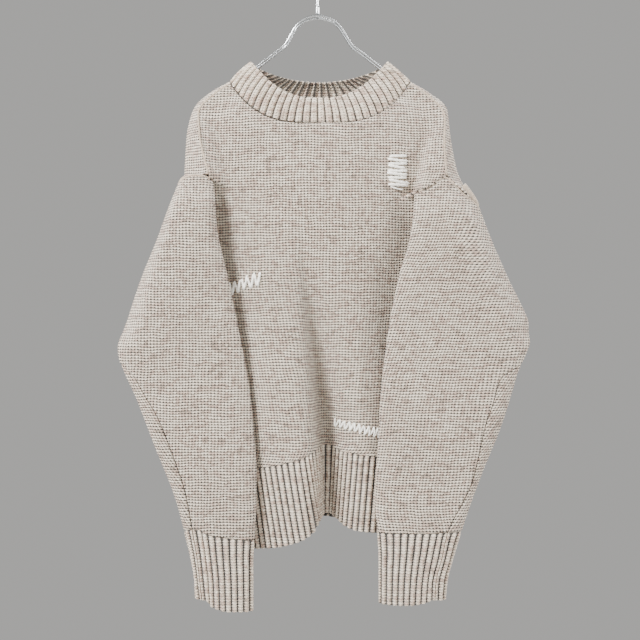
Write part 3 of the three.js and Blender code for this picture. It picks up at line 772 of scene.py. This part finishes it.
@dataclass(frozen=True)
class Knit(Finish):
    """Marled lambswool, machine knitted in thick yarn: soft, dry and hairy, with no gloss.

    The eye sees rows of small stitches with dark holes between the columns, and short darker
    and pinkish streaks along the courses where the two plies of the marl change places; the
    dark in the holes is painted shade. A stitch is a wale wide and a course tall, and lean is
    the slant of its legs. In a rib, crest is the share that stands out. The depths say how low
    holes, rows and channels lie, and the colour darkens with that depth as painted shade down
    to hole; wander is how far worn stitches drift.
    """

    name: str
    stitch: Stitch = Stitch.STOCKINETTE
    wale: float = 4.3
    course: float = 3.7
    wales_per_rib: int = 1
    crest: float = 0.56
    lean: float = 0.2
    light: str = "EADCC8"
    mid: str = "D3C2AD"
    dark: str = "9E8E7C"
    pink: str = "C4A896"
    # Painted shade: hole is the share of the colour left where the yarn lies lowest; channel, row_depth and
    # hole_depth set how low the channels, course steps and holes lie, for the bump and the painted shade.
    hole: float = 0.02
    channel: float = 0.5
    row_depth: float = 0.6
    hole_depth: float = 1.1
    wander: float = 1.4
    relief: float = 2.6

    def shader(self, tree: Tree) -> Socket:
        """Adds the finish's nodes and returns their shader."""
        knit = add(tree, "UVMap", {}, uv_map="knit")
        if self.stitch is Stitch.STOCKINETTE:
            knit = self._wandering(tree, knit)
        split = add(tree, "SeparateXYZ", {0: knit}).node
        across, down = split.outputs["X"], split.outputs["Y"]
        middle, on_crest = self._middle(tree, across)
        course = add(tree, "Math", {0: down, 1: self.course}, operation="DIVIDE")
        stitch = add(tree, "Math", {0: middle, 1: self.lean, 2: course}, operation="MULTIPLY_ADD")
        height = self._height(tree, stitch, middle, on_crest)
        colour = self._marl(tree, across, stitch)
        soil = self._soil(tree)
        worn = add(tree, "Mix", {"Factor": soil, 6: colour, 7: linear(self.dark)},
                   data_type="RGBA").node.outputs[2]
        # Painted shade: the colour darkens where the yarn lies low, in the holes, the steps between courses
        # and the rib channels.
        shade = add(tree, "MapRange", {0: height, 1: 0.1, 2: 0.9, 3: self.hole, 4: 1.0})
        shaded = add(tree, "Mix", {"Factor": 1.0, 6: worn, 7: shade}, data_type="RGBA",
                     blend_type="MULTIPLY").node.outputs[2]
        fluff = add(tree, "TexNoise", {"Scale": 900.0, "Detail": 3.0, "Roughness": 0.7})
        hairy = add(tree, "Math", {0: fluff, 1: 0.3, 2: height}, operation="MULTIPLY_ADD")
        bump = add(tree, "Bump", {"Strength": 0.9, "Distance": self.relief * MM, "Height": hairy})
        return add(tree, "BsdfPrincipled", {
            "Base Color": shaded, "Roughness": 0.92, "IOR": 1.5, "Normal": bump,
            "Specular IOR Level": 0.15, "Sheen Weight": 0.25, "Sheen Roughness": 0.6})

    def _wandering(self, tree: Tree, knit: Socket) -> Socket:
        """Returns the knit coordinates with the wales and courses drifting a little, as worn ones do."""
        slow = add(tree, "TexNoise", {"Vector": knit, "Scale": 0.022, "Detail": 2.0, "Roughness": 0.6})
        drift = add(tree, "VectorMath", {0: slow.node.outputs["Color"], 1: (0.5, 0.5, 0.5)},
                    operation="SUBTRACT")
        scaled = add(tree, "VectorMath", {0: drift, "Scale": 4 * self.wander}, operation="SCALE")
        return add(tree, "VectorMath", {0: knit, 1: scaled}, operation="ADD")

    def _middle(self, tree: Tree, across: Socket) -> tuple[Socket, Socket | None]:
        """Returns the distance from a wale's middle, 0 to 1, and how far the point is on a crest."""
        if self.stitch is Stitch.STOCKINETTE:
            wales = add(tree, "Math", {0: across, 1: self.wale}, operation="DIVIDE")
            return self._zigzag(tree, wales), None
        from_crest = self._zigzag(tree, add(tree, "Math", {0: across, 1: 0.5}, operation="ADD"))
        on_crest = add(tree, "MapRange", {0: from_crest, 1: self.crest + 0.14, 2: self.crest - 0.06})
        if self.wales_per_rib == 1:
            share = add(tree, "Math", {0: from_crest, 1: self.crest}, operation="DIVIDE", use_clamp=True)
            return share, on_crest
        offset = add(tree, "Math", {0: across, 1: 0.5, 2: -0.5}, operation="WRAP")
        wales = add(tree, "Math", {0: offset, 1: self.wales_per_rib / self.crest}, operation="MULTIPLY")
        return self._zigzag(tree, wales), on_crest

    @staticmethod
    def _zigzag(tree: Tree, wales: Socket) -> Socket:
        """Returns 0 at the middle of each whole step and 1 at its borders."""
        part = add(tree, "Math", {0: wales}, operation="FRACT")
        from_middle = add(tree, "Math", {0: part, 1: 0.5}, operation="SUBTRACT")
        half = add(tree, "Math", {0: from_middle}, operation="ABSOLUTE")
        return add(tree, "Math", {0: half, 1: 2.0}, operation="MULTIPLY")

    def _height(self, tree: Tree, stitch: Socket, middle: Socket, on_crest: Socket | None) -> Socket:
        """Returns how far the yarn stands out, 0 in the holes where four stitches meet.

        The crease inside each V is finer than shows, so only the holes between the wales and
        the step from stitch to stitch are drawn, and the legs of each V lie flatter than in wool.
        The height gives both the bump and the painted shade.
        """
        from_leg = self._zigzag(tree, stitch)
        border = add(tree, "Math", {0: middle, 1: 1.5}, operation="POWER")
        hole = add(tree, "Math", {0: border, 1: from_leg}, operation="MULTIPLY")
        step = add(tree, "Math", {0: from_leg, 1: 2.0}, operation="POWER")
        leg = add(tree, "Math", {0: step, 1: -self.row_depth, 2: 1.0}, operation="MULTIPLY_ADD")
        height = add(tree, "Math", {0: hole, 1: -self.hole_depth, 2: leg}, operation="MULTIPLY_ADD",
                     use_clamp=True)
        if on_crest is None:
            return height
        low = add(tree, "Math", {0: leg, 1: self.channel}, operation="MULTIPLY")
        return add(tree, "Mix", {"Factor": on_crest, 2: low, 3: height})

    def _marl(self, tree: Tree, across: Socket, stitch: Socket) -> Socket:
        """Returns the yarn's colour, which changes in short runs along each course."""
        scale = 1.0 if self.stitch is Stitch.STOCKINETTE else 2 * self.wale
        run = add(tree, "Math", {0: across, 1: scale / 9}, operation="MULTIPLY")
        row = add(tree, "Math", {0: stitch, 1: 0.55}, operation="MULTIPLY")
        place = add(tree, "CombineXYZ", {0: run, 1: row})
        streak = add(tree, "TexNoise", {"Vector": place, "Scale": 1.0, "Detail": 3.0, "Roughness": 0.65})
        long_run = add(tree, "Math", {0: across, 1: scale / 38}, operation="MULTIPLY")
        far_row = add(tree, "Math", {0: row, 1: 0.7}, operation="MULTIPLY")
        far = add(tree, "CombineXYZ", {0: long_run, 1: far_row})
        band = add(tree, "TexNoise", {"Vector": far, "Scale": 1.0, "Detail": 2.0, "Roughness": 0.5})
        both = add(tree, "Math", {0: band, 1: 0.55, 2: streak}, operation="MULTIPLY_ADD")
        wale = add(tree, "Math", {0: across, 1: scale / self.wale}, operation="MULTIPLY")
        place = add(tree, "CombineXYZ", {0: wale, 1: stitch})
        cell = add(tree, "VectorMath", {0: place}, operation="FLOOR")
        own = add(tree, "TexWhiteNoise", {"Vector": cell}, noise_dimensions="2D")
        fleck = add(tree, "Math", {0: own, 1: 0.22, 2: both}, operation="MULTIPLY_ADD")
        tone = add(tree, "MapRange", {0: fleck, 1: 0.6, 2: 1.15})
        ramp = add(tree, "ValToRGB", {"Fac": tone}).node
        stops = ramp.color_ramp.elements
        stops[0].position, stops[0].color = 0.08, linear(self.dark)
        stops[1].position, stops[1].color = 0.92, linear(self.light)
        stops.new(0.3).color = linear(self.pink)
        stops.new(0.48).color = linear(self.mid)
        return ramp.outputs[0]

    @staticmethod
    def _soil(tree: Tree) -> Socket:
        """Returns a faint broad greyness where the garment has been handled."""
        place = add(tree, "NewGeometry", {})
        cloud = add(tree, "TexNoise", {"Vector": place, "Scale": 7.0, "Detail": 4.0, "Roughness": 0.6})
        return add(tree, "MapRange", {0: cloud, 1: 0.45, 2: 0.8, 3: 0.0, 4: 0.28})


@dataclass(frozen=True)
class Yarn(Finish):
    """Two-ply wool, loosely spun: thick, soft and fuzzy, with no gloss.

    Undyed and creamy in the darns, where it is stitched by hand, and of the garment's own
    colours in the seams, where it is linked on the machine.
    """

    name: str
    light: str
    shade: str

    def shader(self, tree: Tree) -> Socket:
        """Adds the finish's nodes and returns their shader."""
        fibre = add(tree, "TexNoise", {"Scale": 700.0, "Detail": 4.0, "Roughness": 0.7})
        cloud = add(tree, "TexNoise", {"Scale": 90.0, "Detail": 2.0})
        both = add(tree, "Math", {0: fibre, 1: 0.5, 2: cloud}, operation="MULTIPLY_ADD")
        tone = add(tree, "MapRange", {0: both, 1: 0.55, 2: 0.85})
        colour = add(tree, "Mix", {"Factor": tone, 6: linear(self.shade), 7: linear(self.light)},
                     data_type="RGBA").node.outputs[2]
        bump = add(tree, "Bump", {"Strength": 0.6, "Distance": 0.5 * MM, "Height": fibre})
        return add(tree, "BsdfPrincipled", {
            "Base Color": colour, "Roughness": 0.9, "IOR": 1.5, "Normal": bump,
            "Specular IOR Level": 0.15, "Sheen Weight": 0.3, "Sheen Roughness": 0.5})


@dataclass(frozen=True)
class ChromedWire(Finish):
    """Chromed steel wire, drawn and polished: a bright mirror, a little scuffed along its length."""

    name: str = "chromed steel wire, polished"
    colour: str = "D5D8DA"
    scuffed: str = "A9ADB0"

    def shader(self, tree: Tree) -> Socket:
        """Adds the finish's nodes and returns their shader."""
        scuff = add(tree, "TexNoise", {"Scale": 260.0, "Detail": 5.0, "Roughness": 0.75})
        rough = add(tree, "MapRange", {0: scuff, 1: 0.35, 2: 0.75, 3: 0.1, 4: 0.34})
        tone = add(tree, "MapRange", {0: scuff, 1: 0.5, 2: 0.75})
        colour = add(tree, "Mix", {"Factor": tone, 6: linear(self.colour), 7: linear(self.scuffed)},
                     data_type="RGBA").node.outputs[2]
        return add(tree, "BsdfPrincipled", {"Base Color": colour, "Metallic": 1.0, "Roughness": rough})


@dataclass(frozen=True)
class PaintedFloor(Finish):
    """A studio floor in pale matt paint, rolled on: even, with the faintest mottle."""

    name: str = "matt floor paint, rolled"
    light: str = "D9D8D5"
    shade: str = "CFCDC9"

    def shader(self, tree: Tree) -> Socket:
        """Adds the finish's nodes and returns their shader."""
        cloud = add(tree, "TexNoise", {"Scale": 3.0, "Detail": 3.0})
        colour = add(tree, "Mix", {"Factor": cloud, 6: linear(self.light), 7: linear(self.shade)},
                     data_type="RGBA").node.outputs[2]
        return add(tree, "BsdfPrincipled", {"Base Color": colour, "Roughness": 0.8})


def dress(piece: Piece, material: Material, slot: str, *nodes: str) -> Piece:
    """Gives a new piece its finish and its place in the frame.

    Args:
        piece: the new object.
        material: its finish.
        slot: the record's material slot; not used.
        nodes: the frame's nodes that it stands for.

    Returns:
        The same object.
    """
    piece.data.materials.append(material)
    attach(piece, "root")
    if nodes:
        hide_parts(*nodes)
    area = sum(face.area for face in piece.data.polygons) / 2
    LOG.info("%s: %d faces, %.4f square metres a side", piece.name, len(piece.data.polygons), area)
    return piece


# ------------------------------------------------------------------ the garment
@dataclass
class Cloth:
    """The sizes that every knitted piece shares."""

    form: Form
    plain: Material
    rib: Material
    thickness: float = 3.0
    rib_thickness: float = 2.2
    cell: float = 4.2
    points_per_rib: int = 9
    rib_pitch: float = 8.2
    rib_height: float = 1.25

    def panel(self, name: str, surface: Surface, width: float, length: float) -> Piece:
        """Builds one plain panel.

        Args:
            name: the frame's node, which it replaces.
            surface: its mid-surface.
            width: its rough size across.
            length: its rough size down.

        Returns:
            The panel.
        """
        across = finer_near(0, 1, width, self.cell)
        down = finer_near(0, 1, length, self.cell)
        shell = Shell(f"{name}_knit", surface, across, down, self.thickness)
        return dress(shell.build(), self.plain, "wool_knit", name)

    def band(self, name: str, surface: Surface, length: float, outward: int) -> Piece:
        """Builds one 1x1 ribbed band.

        Args:
            name: the frame's node, which it replaces.
            surface: its mid-surface.
            length: its depth from join to edge.
            outward: 1 where the grid's own normal faces out of the garment, or -1.

        Returns:
            The band.
        """
        count = self.ribs_across(surface)
        across, shares = even_across(surface, 0.5, count * self.points_per_rib)
        down = finer_near(0, 1, length, 6.0)
        wave = Wave(count, self.rib_height, flatness=1.3, fade_in=0.05)
        shell = Shell(f"{name}_rib", surface, across, down, self.rib_thickness, wave,
                      outward=outward, shares=shares)
        return dress(shell.build(), self.rib, "wool_knit", name)

    def ribs_across(self, surface: Surface) -> int:
        """Returns how many ribs fit along a band's middle row."""
        return round(lengths([Vector(surface(u, 0.5)) for u in steps(0, 1, 200)])[-1] / self.rib_pitch)


@dataclass
class Body:
    """The front and back panels with their ribbed hems."""

    cloth: Cloth
    width: float = 0.55
    length: float = 0.56
    cut_share: float = 0.75

    def build(self) -> None:
        """Builds both halves."""
        form, cloth = self.cloth.form, self.cloth
        halves = (("front", form.front, form.front_hem, 1), ("back", form.back, form.back_hem, -1))
        for name, panel, hem, outward in halves:
            plain = cloth.panel(name, panel, 560, 560)
            band = cloth.band(f"hem_{name}", hem, 110, outward)


@dataclass
class Sleeve:
    """One sleeve: a flattened tube, open at the armhole, with its ribbed cuff."""

    cloth: Cloth
    side: Side
    width: float = 0.4
    length: float = 0.48
    cut_share: float = 0.75

    def build(self) -> None:
        """Builds the sleeve and its cuff."""
        word = self.side.name.lower()
        form, cloth, side = self.cloth.form, self.cloth, self.side
        plain = cloth.panel(f"sleeve_{word}", partial(form.sleeve, side), 420, 475)
        band = cloth.band(f"cuff_{word}", partial(form.cuff, side), 92, -side.value)


@dataclass
class Collar:
    """The 2x2 ribbed crew collar, linked on round the neck."""

    cloth: Cloth
    finish: Material
    count: int = 56
    points_per_rib: int = 12
    height: float = 1.3
    flat: tuple[float, float] = (0.54, 0.054)

    def build(self) -> None:
        """Builds the collar."""
        surface = self.cloth.form.collar
        round_it, shares = even_across(surface, 0.6, self.count * self.points_per_rib, ring=True)
        wave = Wave(self.count, self.height, flatness=2.0, groove=0.35, fade_in=0.04)
        shell = Shell("collar_rib", surface, round_it, finer_near(0, 1, 52, 4.0), self.cloth.rib_thickness,
                      wave, ring=True, outward=-1, shares=shares)
        piece = dress(shell.build(), self.finish, "wool_knit", "collar")


@dataclass
class Linking:
    """The rolls of yarn and selvedge inside the seams of one shoulder and armhole."""

    form: Form
    side: Side
    thin: float = 1.5
    least: float = 2.2
    widest: float = 6.5
    overlap: float = 0.2
    shoulder: tuple[float, float] = (0.01, 0.25)
    rear: tuple[float, float] = (0.272, 0.6)
    head: tuple[float, float] = (0.02, 0.5)
    head_shift: Point = (0, 1.0, 1.2)

    def build(self, material: Material) -> None:
        """Builds the three runs of seam as one piece.

        Args:
            material: the yarn's finish.
        """
        runs = [self._shoulder(), self._head(), self._rear()]
        parts = [self._roll(run) for run in runs]
        dress(joined(f"seam_{self.side.name.lower()}", parts), material, "wool_knit")

    @property
    def edge(self) -> float:
        """Returns the panels' parameter at this side's edge."""
        return 0.0 if self.side is Side.LEFT else 1.0

    def _shoulder(self) -> Run:
        """Returns the run between the front and the back, neck to armhole."""
        run = []
        for v in steps(*self.shoulder, 40):
            front, back = Vector(self.form.front(self.edge, v)), Vector(self.form.back(self.edge, v))
            run.append(((front + back) / 2, self.thin))
        return run

    def _head(self) -> Run:
        """Returns the run along the top of the sleeve, over its face to the inner fold."""
        return [(Vector(self.form.sleeve(self.side, s, 0)) + Vector(self.head_shift), self.thin)
                for s in steps(*self.head, 60)]

    def _rear(self) -> Run:
        """Returns the run between the back panel and the sleeve's back edge, down to the armpit."""
        run = []
        for v in steps(*self.rear, 80):
            back = Vector(self.form.back(self.edge, v))
            sleeve = Vector(self.form.sleeve_section(self.side, 0, back.z))
            apart = (back - sleeve).length / 2
            run.append(((back + sleeve) / 2, min(self.widest, max(self.least, apart + self.overlap))))
        return run

    @staticmethod
    def _roll(run: Run) -> Part:
        """Returns a tube along a run, as thick as each of its points says."""
        points, radii = zip(*run)
        return tube(points, pointwise(radii), sides=10)


# ------------------------------------------------------------------ the darns
@dataclass
class Darn:
    """One hand-stitched mend: strands of thick yarn over the knitting, slanting there and back.

    Its ends are x, z on the front, and each stitch runs across the line between them.
    """

    name: str
    start: tuple[float, float]
    end: tuple[float, float]
    width: float
    count: int
    yarn: float
    seed: int
    slant: float = 0.0
    swing: float = 0.42
    thin_from: float = 2.0

    PLY_TURN = 7.0
    PLY_DEPTH = 0.13
    THINNER = 0.62

    def build(self, form: Form, cloth: Cloth, material: Material) -> None:
        """Builds the strands as one piece.

        Args:
            form: the surface that they lie on.
            cloth: the knitting under them.
            material: the yarn's finish.
        """
        chance = random.Random(self.seed)
        parts = [self._strand(i, form, cloth, chance) for i in range(self.count)]
        dress(joined(f"{self.name}_stitches", parts), material, "darning_yarn", self.name)

    def _strand(self, i: int, form: Form, cloth: Cloth, chance: random.Random) -> Part:
        """Returns one stitch: up through the knitting, over it and down again.

        Args:
            i: which stitch.
            form: the surface it lies on.
            cloth: the knitting under it.
            chance: this darn's own random numbers.

        Returns:
            The stitch's points and faces.
        """
        along = Vector((self.end[0] - self.start[0], self.end[1] - self.start[1]))
        share = (i + 0.5) / self.count
        thin = share > self.thin_from
        reach = self.width / 2 * (self.THINNER if thin else chance.uniform(0.8, 1.0))
        radius = self.yarn / 2 * (self.THINNER if thin else chance.uniform(0.88, 1.08))
        step = along.length / self.count
        lean = self.slant + chance.uniform(-0.12, 0.12) * step
        lean += (self.swing if i % 2 else -self.swing) * step
        along.normalize()
        side = Vector((-along.y, along.x))
        centre = Vector(self.start) + along * (share * step * self.count + chance.uniform(-0.1, 0.1) * step)
        shift = chance.uniform(-0.06, 0.06) * self.width
        arch = chance.uniform(0.2, 1.1)
        points = []
        for t in steps(-1, 1, max(10, round(reach * 2.4))):
            place = centre + side * (reach * t + shift) + along * (lean * t + arch * (1 - t * t))
            over = 1 - abs(t) ** 5
            lift = cloth.thickness / 2 + radius * (0.75 * over - 0.75 * (1 - over)) + 0.35 * over
            points.append(self._on_front(form, place.x, place.y, lift))
        turn = chance.uniform(0, math.pi)
        length = 2 * reach

        def ply(t: float, angle: float) -> float:
            """Returns the twisted strand's radius, less at its ends."""
            taper = 0.55 + 0.45 * min(1, 9 * t * (1 - t) + 0.2)
            twist = 2 * angle + turn - 2 * math.pi * length * t / self.PLY_TURN
            return radius * taper * (1 + self.PLY_DEPTH * math.cos(twist))

        return tube(points, ply, sides=12)

    @staticmethod
    def _on_front(form: Form, x: float, z: float, lift: float) -> Vector:
        """Returns the point that lies a height off the front panel at x, z."""
        step = 1.0
        slope_x = (form.front_depth(x + step, z) - form.front_depth(x - step, z)) / (2 * step)
        slope_z = (form.front_depth(x, z + step) - form.front_depth(x, z - step)) / (2 * step)
        outward = Vector((slope_x, -1, slope_z)).normalized()
        return Vector((x, form.front_depth(x, z), z)) + outward * lift


# ------------------------------------------------------------------ the hanger
@dataclass
class Hanger:
    """A slim chromed hanger: two bent wires, a ferrule, a short bridge and a round hook."""

    wire_radius: float = 1.6
    wire_y: float = 7.0
    hook_radius: float = 1.8
    crown_radius: float = 18.0
    ferrule_radius: float = 2.6
    ferrule: tuple[float, float] = (-62.0, -72.0)
    bridge_z: float = -75.4
    clearance: float = 0.3
    sides: int = 16

    LEFT_WIRE = ((-12, -78), (-22, -83), (-31, -92), (-39, -106), (-46, -117), (-56, -125), (-83, -146),
                 (-102, -163), (-122, -180), (-148, -200), (-154, -204))
    RIGHT_WIRE = ((12, -78), (21, -82), (31, -91), (40, -105), (49, -118), (60, -126), (88, -148),
                  (107, -164), (128, -181), (154, -202), (160, -206))
    MIDDLE = (0, -76)

    def build(self, material: Material) -> None:
        """Builds the hanger's four pieces.

        Args:
            material: the wire's finish.
        """
        top, end = self.ferrule
        reach = self.wire_y - self.wire_radius - self.clearance
        pieces = (
            ("hanger_wire_pair", "hanger_wires",
             tube(self._wires(), pointwise([self.wire_radius]), self.sides, loop=True)),
            ("hanger_hook_wire", "hanger_hook",
             tube(self._hook(), pointwise([self.hook_radius]), self.sides)),
            ("hanger_ferrule_sleeve", "hanger_ferrule", self._turned((0, 0, top), (0, 0, end))),
            ("hanger_bridge_rod", "hanger_bridge",
             self._turned((0, -reach, self.bridge_z), (0, reach, self.bridge_z))))
        for name, node, part in pieces:
            dress(joined(name, [part]), material, "chromed_wire", node)

    def _turned(self, start: Point, end: Point) -> Part:
        """Returns a short turned rod with rounded ends."""
        start, end = Vector(start), Vector(end)
        length = (end - start).length
        near = [d / length for d in (0, 0.15, 0.4, 0.8)]
        places = [*near, *steps(0.2, 0.8, 4), *[1 - d for d in reversed(near)]]
        ease = Curve((0, 0.8), (0.15, 0.9), (0.4, 0.98), (0.8, 1), (length / 2, 1))
        radii = [self.ferrule_radius * ease.at(min(share, 1 - share) * length) for share in places]
        return tube([start.lerp(end, share) for share in places], pointwise(radii), 24)

    def _wires(self) -> list[Vector]:
        """Returns the loop of wire: along the front, round the left end, back and round the right."""
        route = [*reversed(self.RIGHT_WIRE), self.MIDDLE, *self.LEFT_WIRE]
        front = through([(x, -self.wire_y, z) for x, z in route], 160)
        rear = [Vector((p.x, self.wire_y, p.z)) for p in reversed(front)]
        return [*front, *self._bend(Side.LEFT), *rear, *self._bend(Side.RIGHT)]

    def _bend(self, side: Side) -> list[Vector]:
        """Returns the round end that joins the two wires at one side of the hanger."""
        x, z = (self.LEFT_WIRE if side is Side.LEFT else self.RIGHT_WIRE)[-1]
        points = []
        for turn in steps(-0.9, 0.9, 12):
            angle = turn * math.pi / 2
            reach = self.wire_y * math.cos(angle)
            points.append(Vector((x + side.value * reach, -side.value * self.wire_y * math.sin(angle),
                                  z - reach * 0.73)))
        return points

    def _hook(self) -> list[Vector]:
        """Returns the hook: a free tip, most of a circle, then down to the straight shank."""
        r = self.crown_radius + self.hook_radius
        points = [(-r * 0.93, 0, -self.crown_radius - 12)]
        for degrees in steps(185, 0, 24):
            angle = math.radians(degrees)
            points.append((r * math.cos(angle), 0, -self.crown_radius + r * math.sin(angle)))
        shank = ((18, -27), (12, -35), (5, -42), (1, -48), (0, -54), (0, -61.5))
        return through(points + [(x, 0, z) for x, z in shank], 140)


# ------------------------------------------------------------------ the studio
@dataclass(frozen=True)
class Lamp:
    """A soft square lamp: where it stands and points, and its side, in metres; its power in watts."""

    name: str
    at: Point
    towards: Point
    size: float
    power: float

    def build(self) -> None:
        """Adds the lamp."""
        lamp = bpy.data.lights.new(self.name, "AREA")
        lamp.size = self.size
        lamp.energy = self.power
        holder = bpy.data.objects.new(self.name, lamp)
        holder.location = self.at
        holder.rotation_euler = (Vector(self.towards) - Vector(self.at)).to_track_quat("-Z", "Y").to_euler()
        bpy.context.collection.objects.link(holder)


@dataclass
class Studio:
    """A plain pale floor, soft lights all round and a level camera in front of the garment."""

    distance: float = 1.5
    eye: tuple[float, float] = (0.0035, -0.5)
    lens: float = 60.3
    sensor: float = 36
    floor_z: float = -2.2
    floor_size: float = 6
    surround: str = "E6E5E2"
    glow: float = 0.55

    LAMPS = (
        Lamp("key", (-1.9, -1.7, 1.3), (0, 0, -0.45), 1.1, 300),
        Lamp("back", (0.9, 2.4, 0.9), (0, 0, -0.45), 1.6, 120),
        Lamp("fill", (1.2, -2.4, 0.5), (0, 0, -0.4), 2.2, 50),
        Lamp("rim_left", (-2.0, -0.3, 0.1), (-0.1, 0, -0.5), 1.2, 30),
        Lamp("rim_right", (2.0, -0.3, 0.1), (0.1, 0, -0.5), 1.2, 75))

    def build(self) -> None:
        """Builds the floor, the lights and the camera."""
        self._floor()
        self._world()
        for lamp in self.LAMPS:
            lamp.build()
        self._camera()

    def _floor(self) -> None:
        """Lays the floor under the hanging garment."""
        bpy.ops.mesh.primitive_plane_add(size=self.floor_size, location=(0, 0, self.floor_z))
        floor = bpy.context.object
        floor.name = "floor"
        floor.data.materials.append(PaintedFloor().material())

    def _world(self) -> None:
        """Sets a plain pale surround."""
        world = bpy.data.worlds.new("studio")
        world.use_nodes = True
        tree = world.node_tree
        tree.nodes.clear()
        backdrop = add(tree, "Background", {"Color": linear(self.surround), "Strength": self.glow})
        add(tree, "OutputWorld", {"Surface": backdrop})
        bpy.context.scene.world = world

    def _camera(self) -> None:
        """Sets the camera level, straight in front."""
        camera = bpy.data.cameras.new("camera")
        camera.lens = self.lens
        camera.sensor_width = self.sensor
        holder = bpy.data.objects.new("camera", camera)
        holder.location = (self.eye[0], -self.distance, self.eye[1])
        holder.rotation_euler = (math.pi / 2, 0, 0)
        bpy.context.collection.objects.link(holder)
        bpy.context.scene.camera = holder


def main() -> None:
    """Loads the frame and builds each piece in order."""
    logging.basicConfig(level=logging.INFO, format="%(message)s")
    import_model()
    Studio().build()
    form = Form()
    plain = Knit("marled lambswool, knitted plain").material()
    # The ribs' channels, rows and holes lie low, for the bump and for a painted shade that darkens them.
    rib = Knit("marled lambswool, knitted in 1x1 rib", Stitch.RIB, channel=0.14, row_depth=0.35,
               hole_depth=0.6).material()
    collar_rib = Knit("marled lambswool, knitted in 2x2 rib", Stitch.RIB, wales_per_rib=2, crest=0.7,
                      channel=0.16, row_depth=0.3, hole_depth=0.5).material()
    yarn = Yarn("darning wool, hand stitched", light="FFFDF6", shade="EDE6D6").material()
    cloth = Cloth(form, plain, rib)
    Body(cloth).build()
    linked = Yarn("marled lambswool, linked in a seam", light="B5A592", shade="8A7B6B").material()
    for side in Side:
        Sleeve(cloth, side).build()
        Linking(form, side).build(linked)
    Collar(cloth, collar_rib).build()
    for darn in (
            Darn("darn_chest", (110, -273), (110, -322), 28, 10, 3.7, seed=3, slant=0.6, swing=0.2,
                 thin_from=0.85),
            Darn("darn_waist", (-122, -458), (-77, -443), 18, 10, 3.4, seed=5, slant=2.5),
            Darn("darn_hem", (24, -640), (84, -654), 13, 19, 2.7, seed=7)):
        darn.build(form, cloth, yarn)
    Hanger().build(ChromedWire().material())


if __name__ == "__main__":
    main()
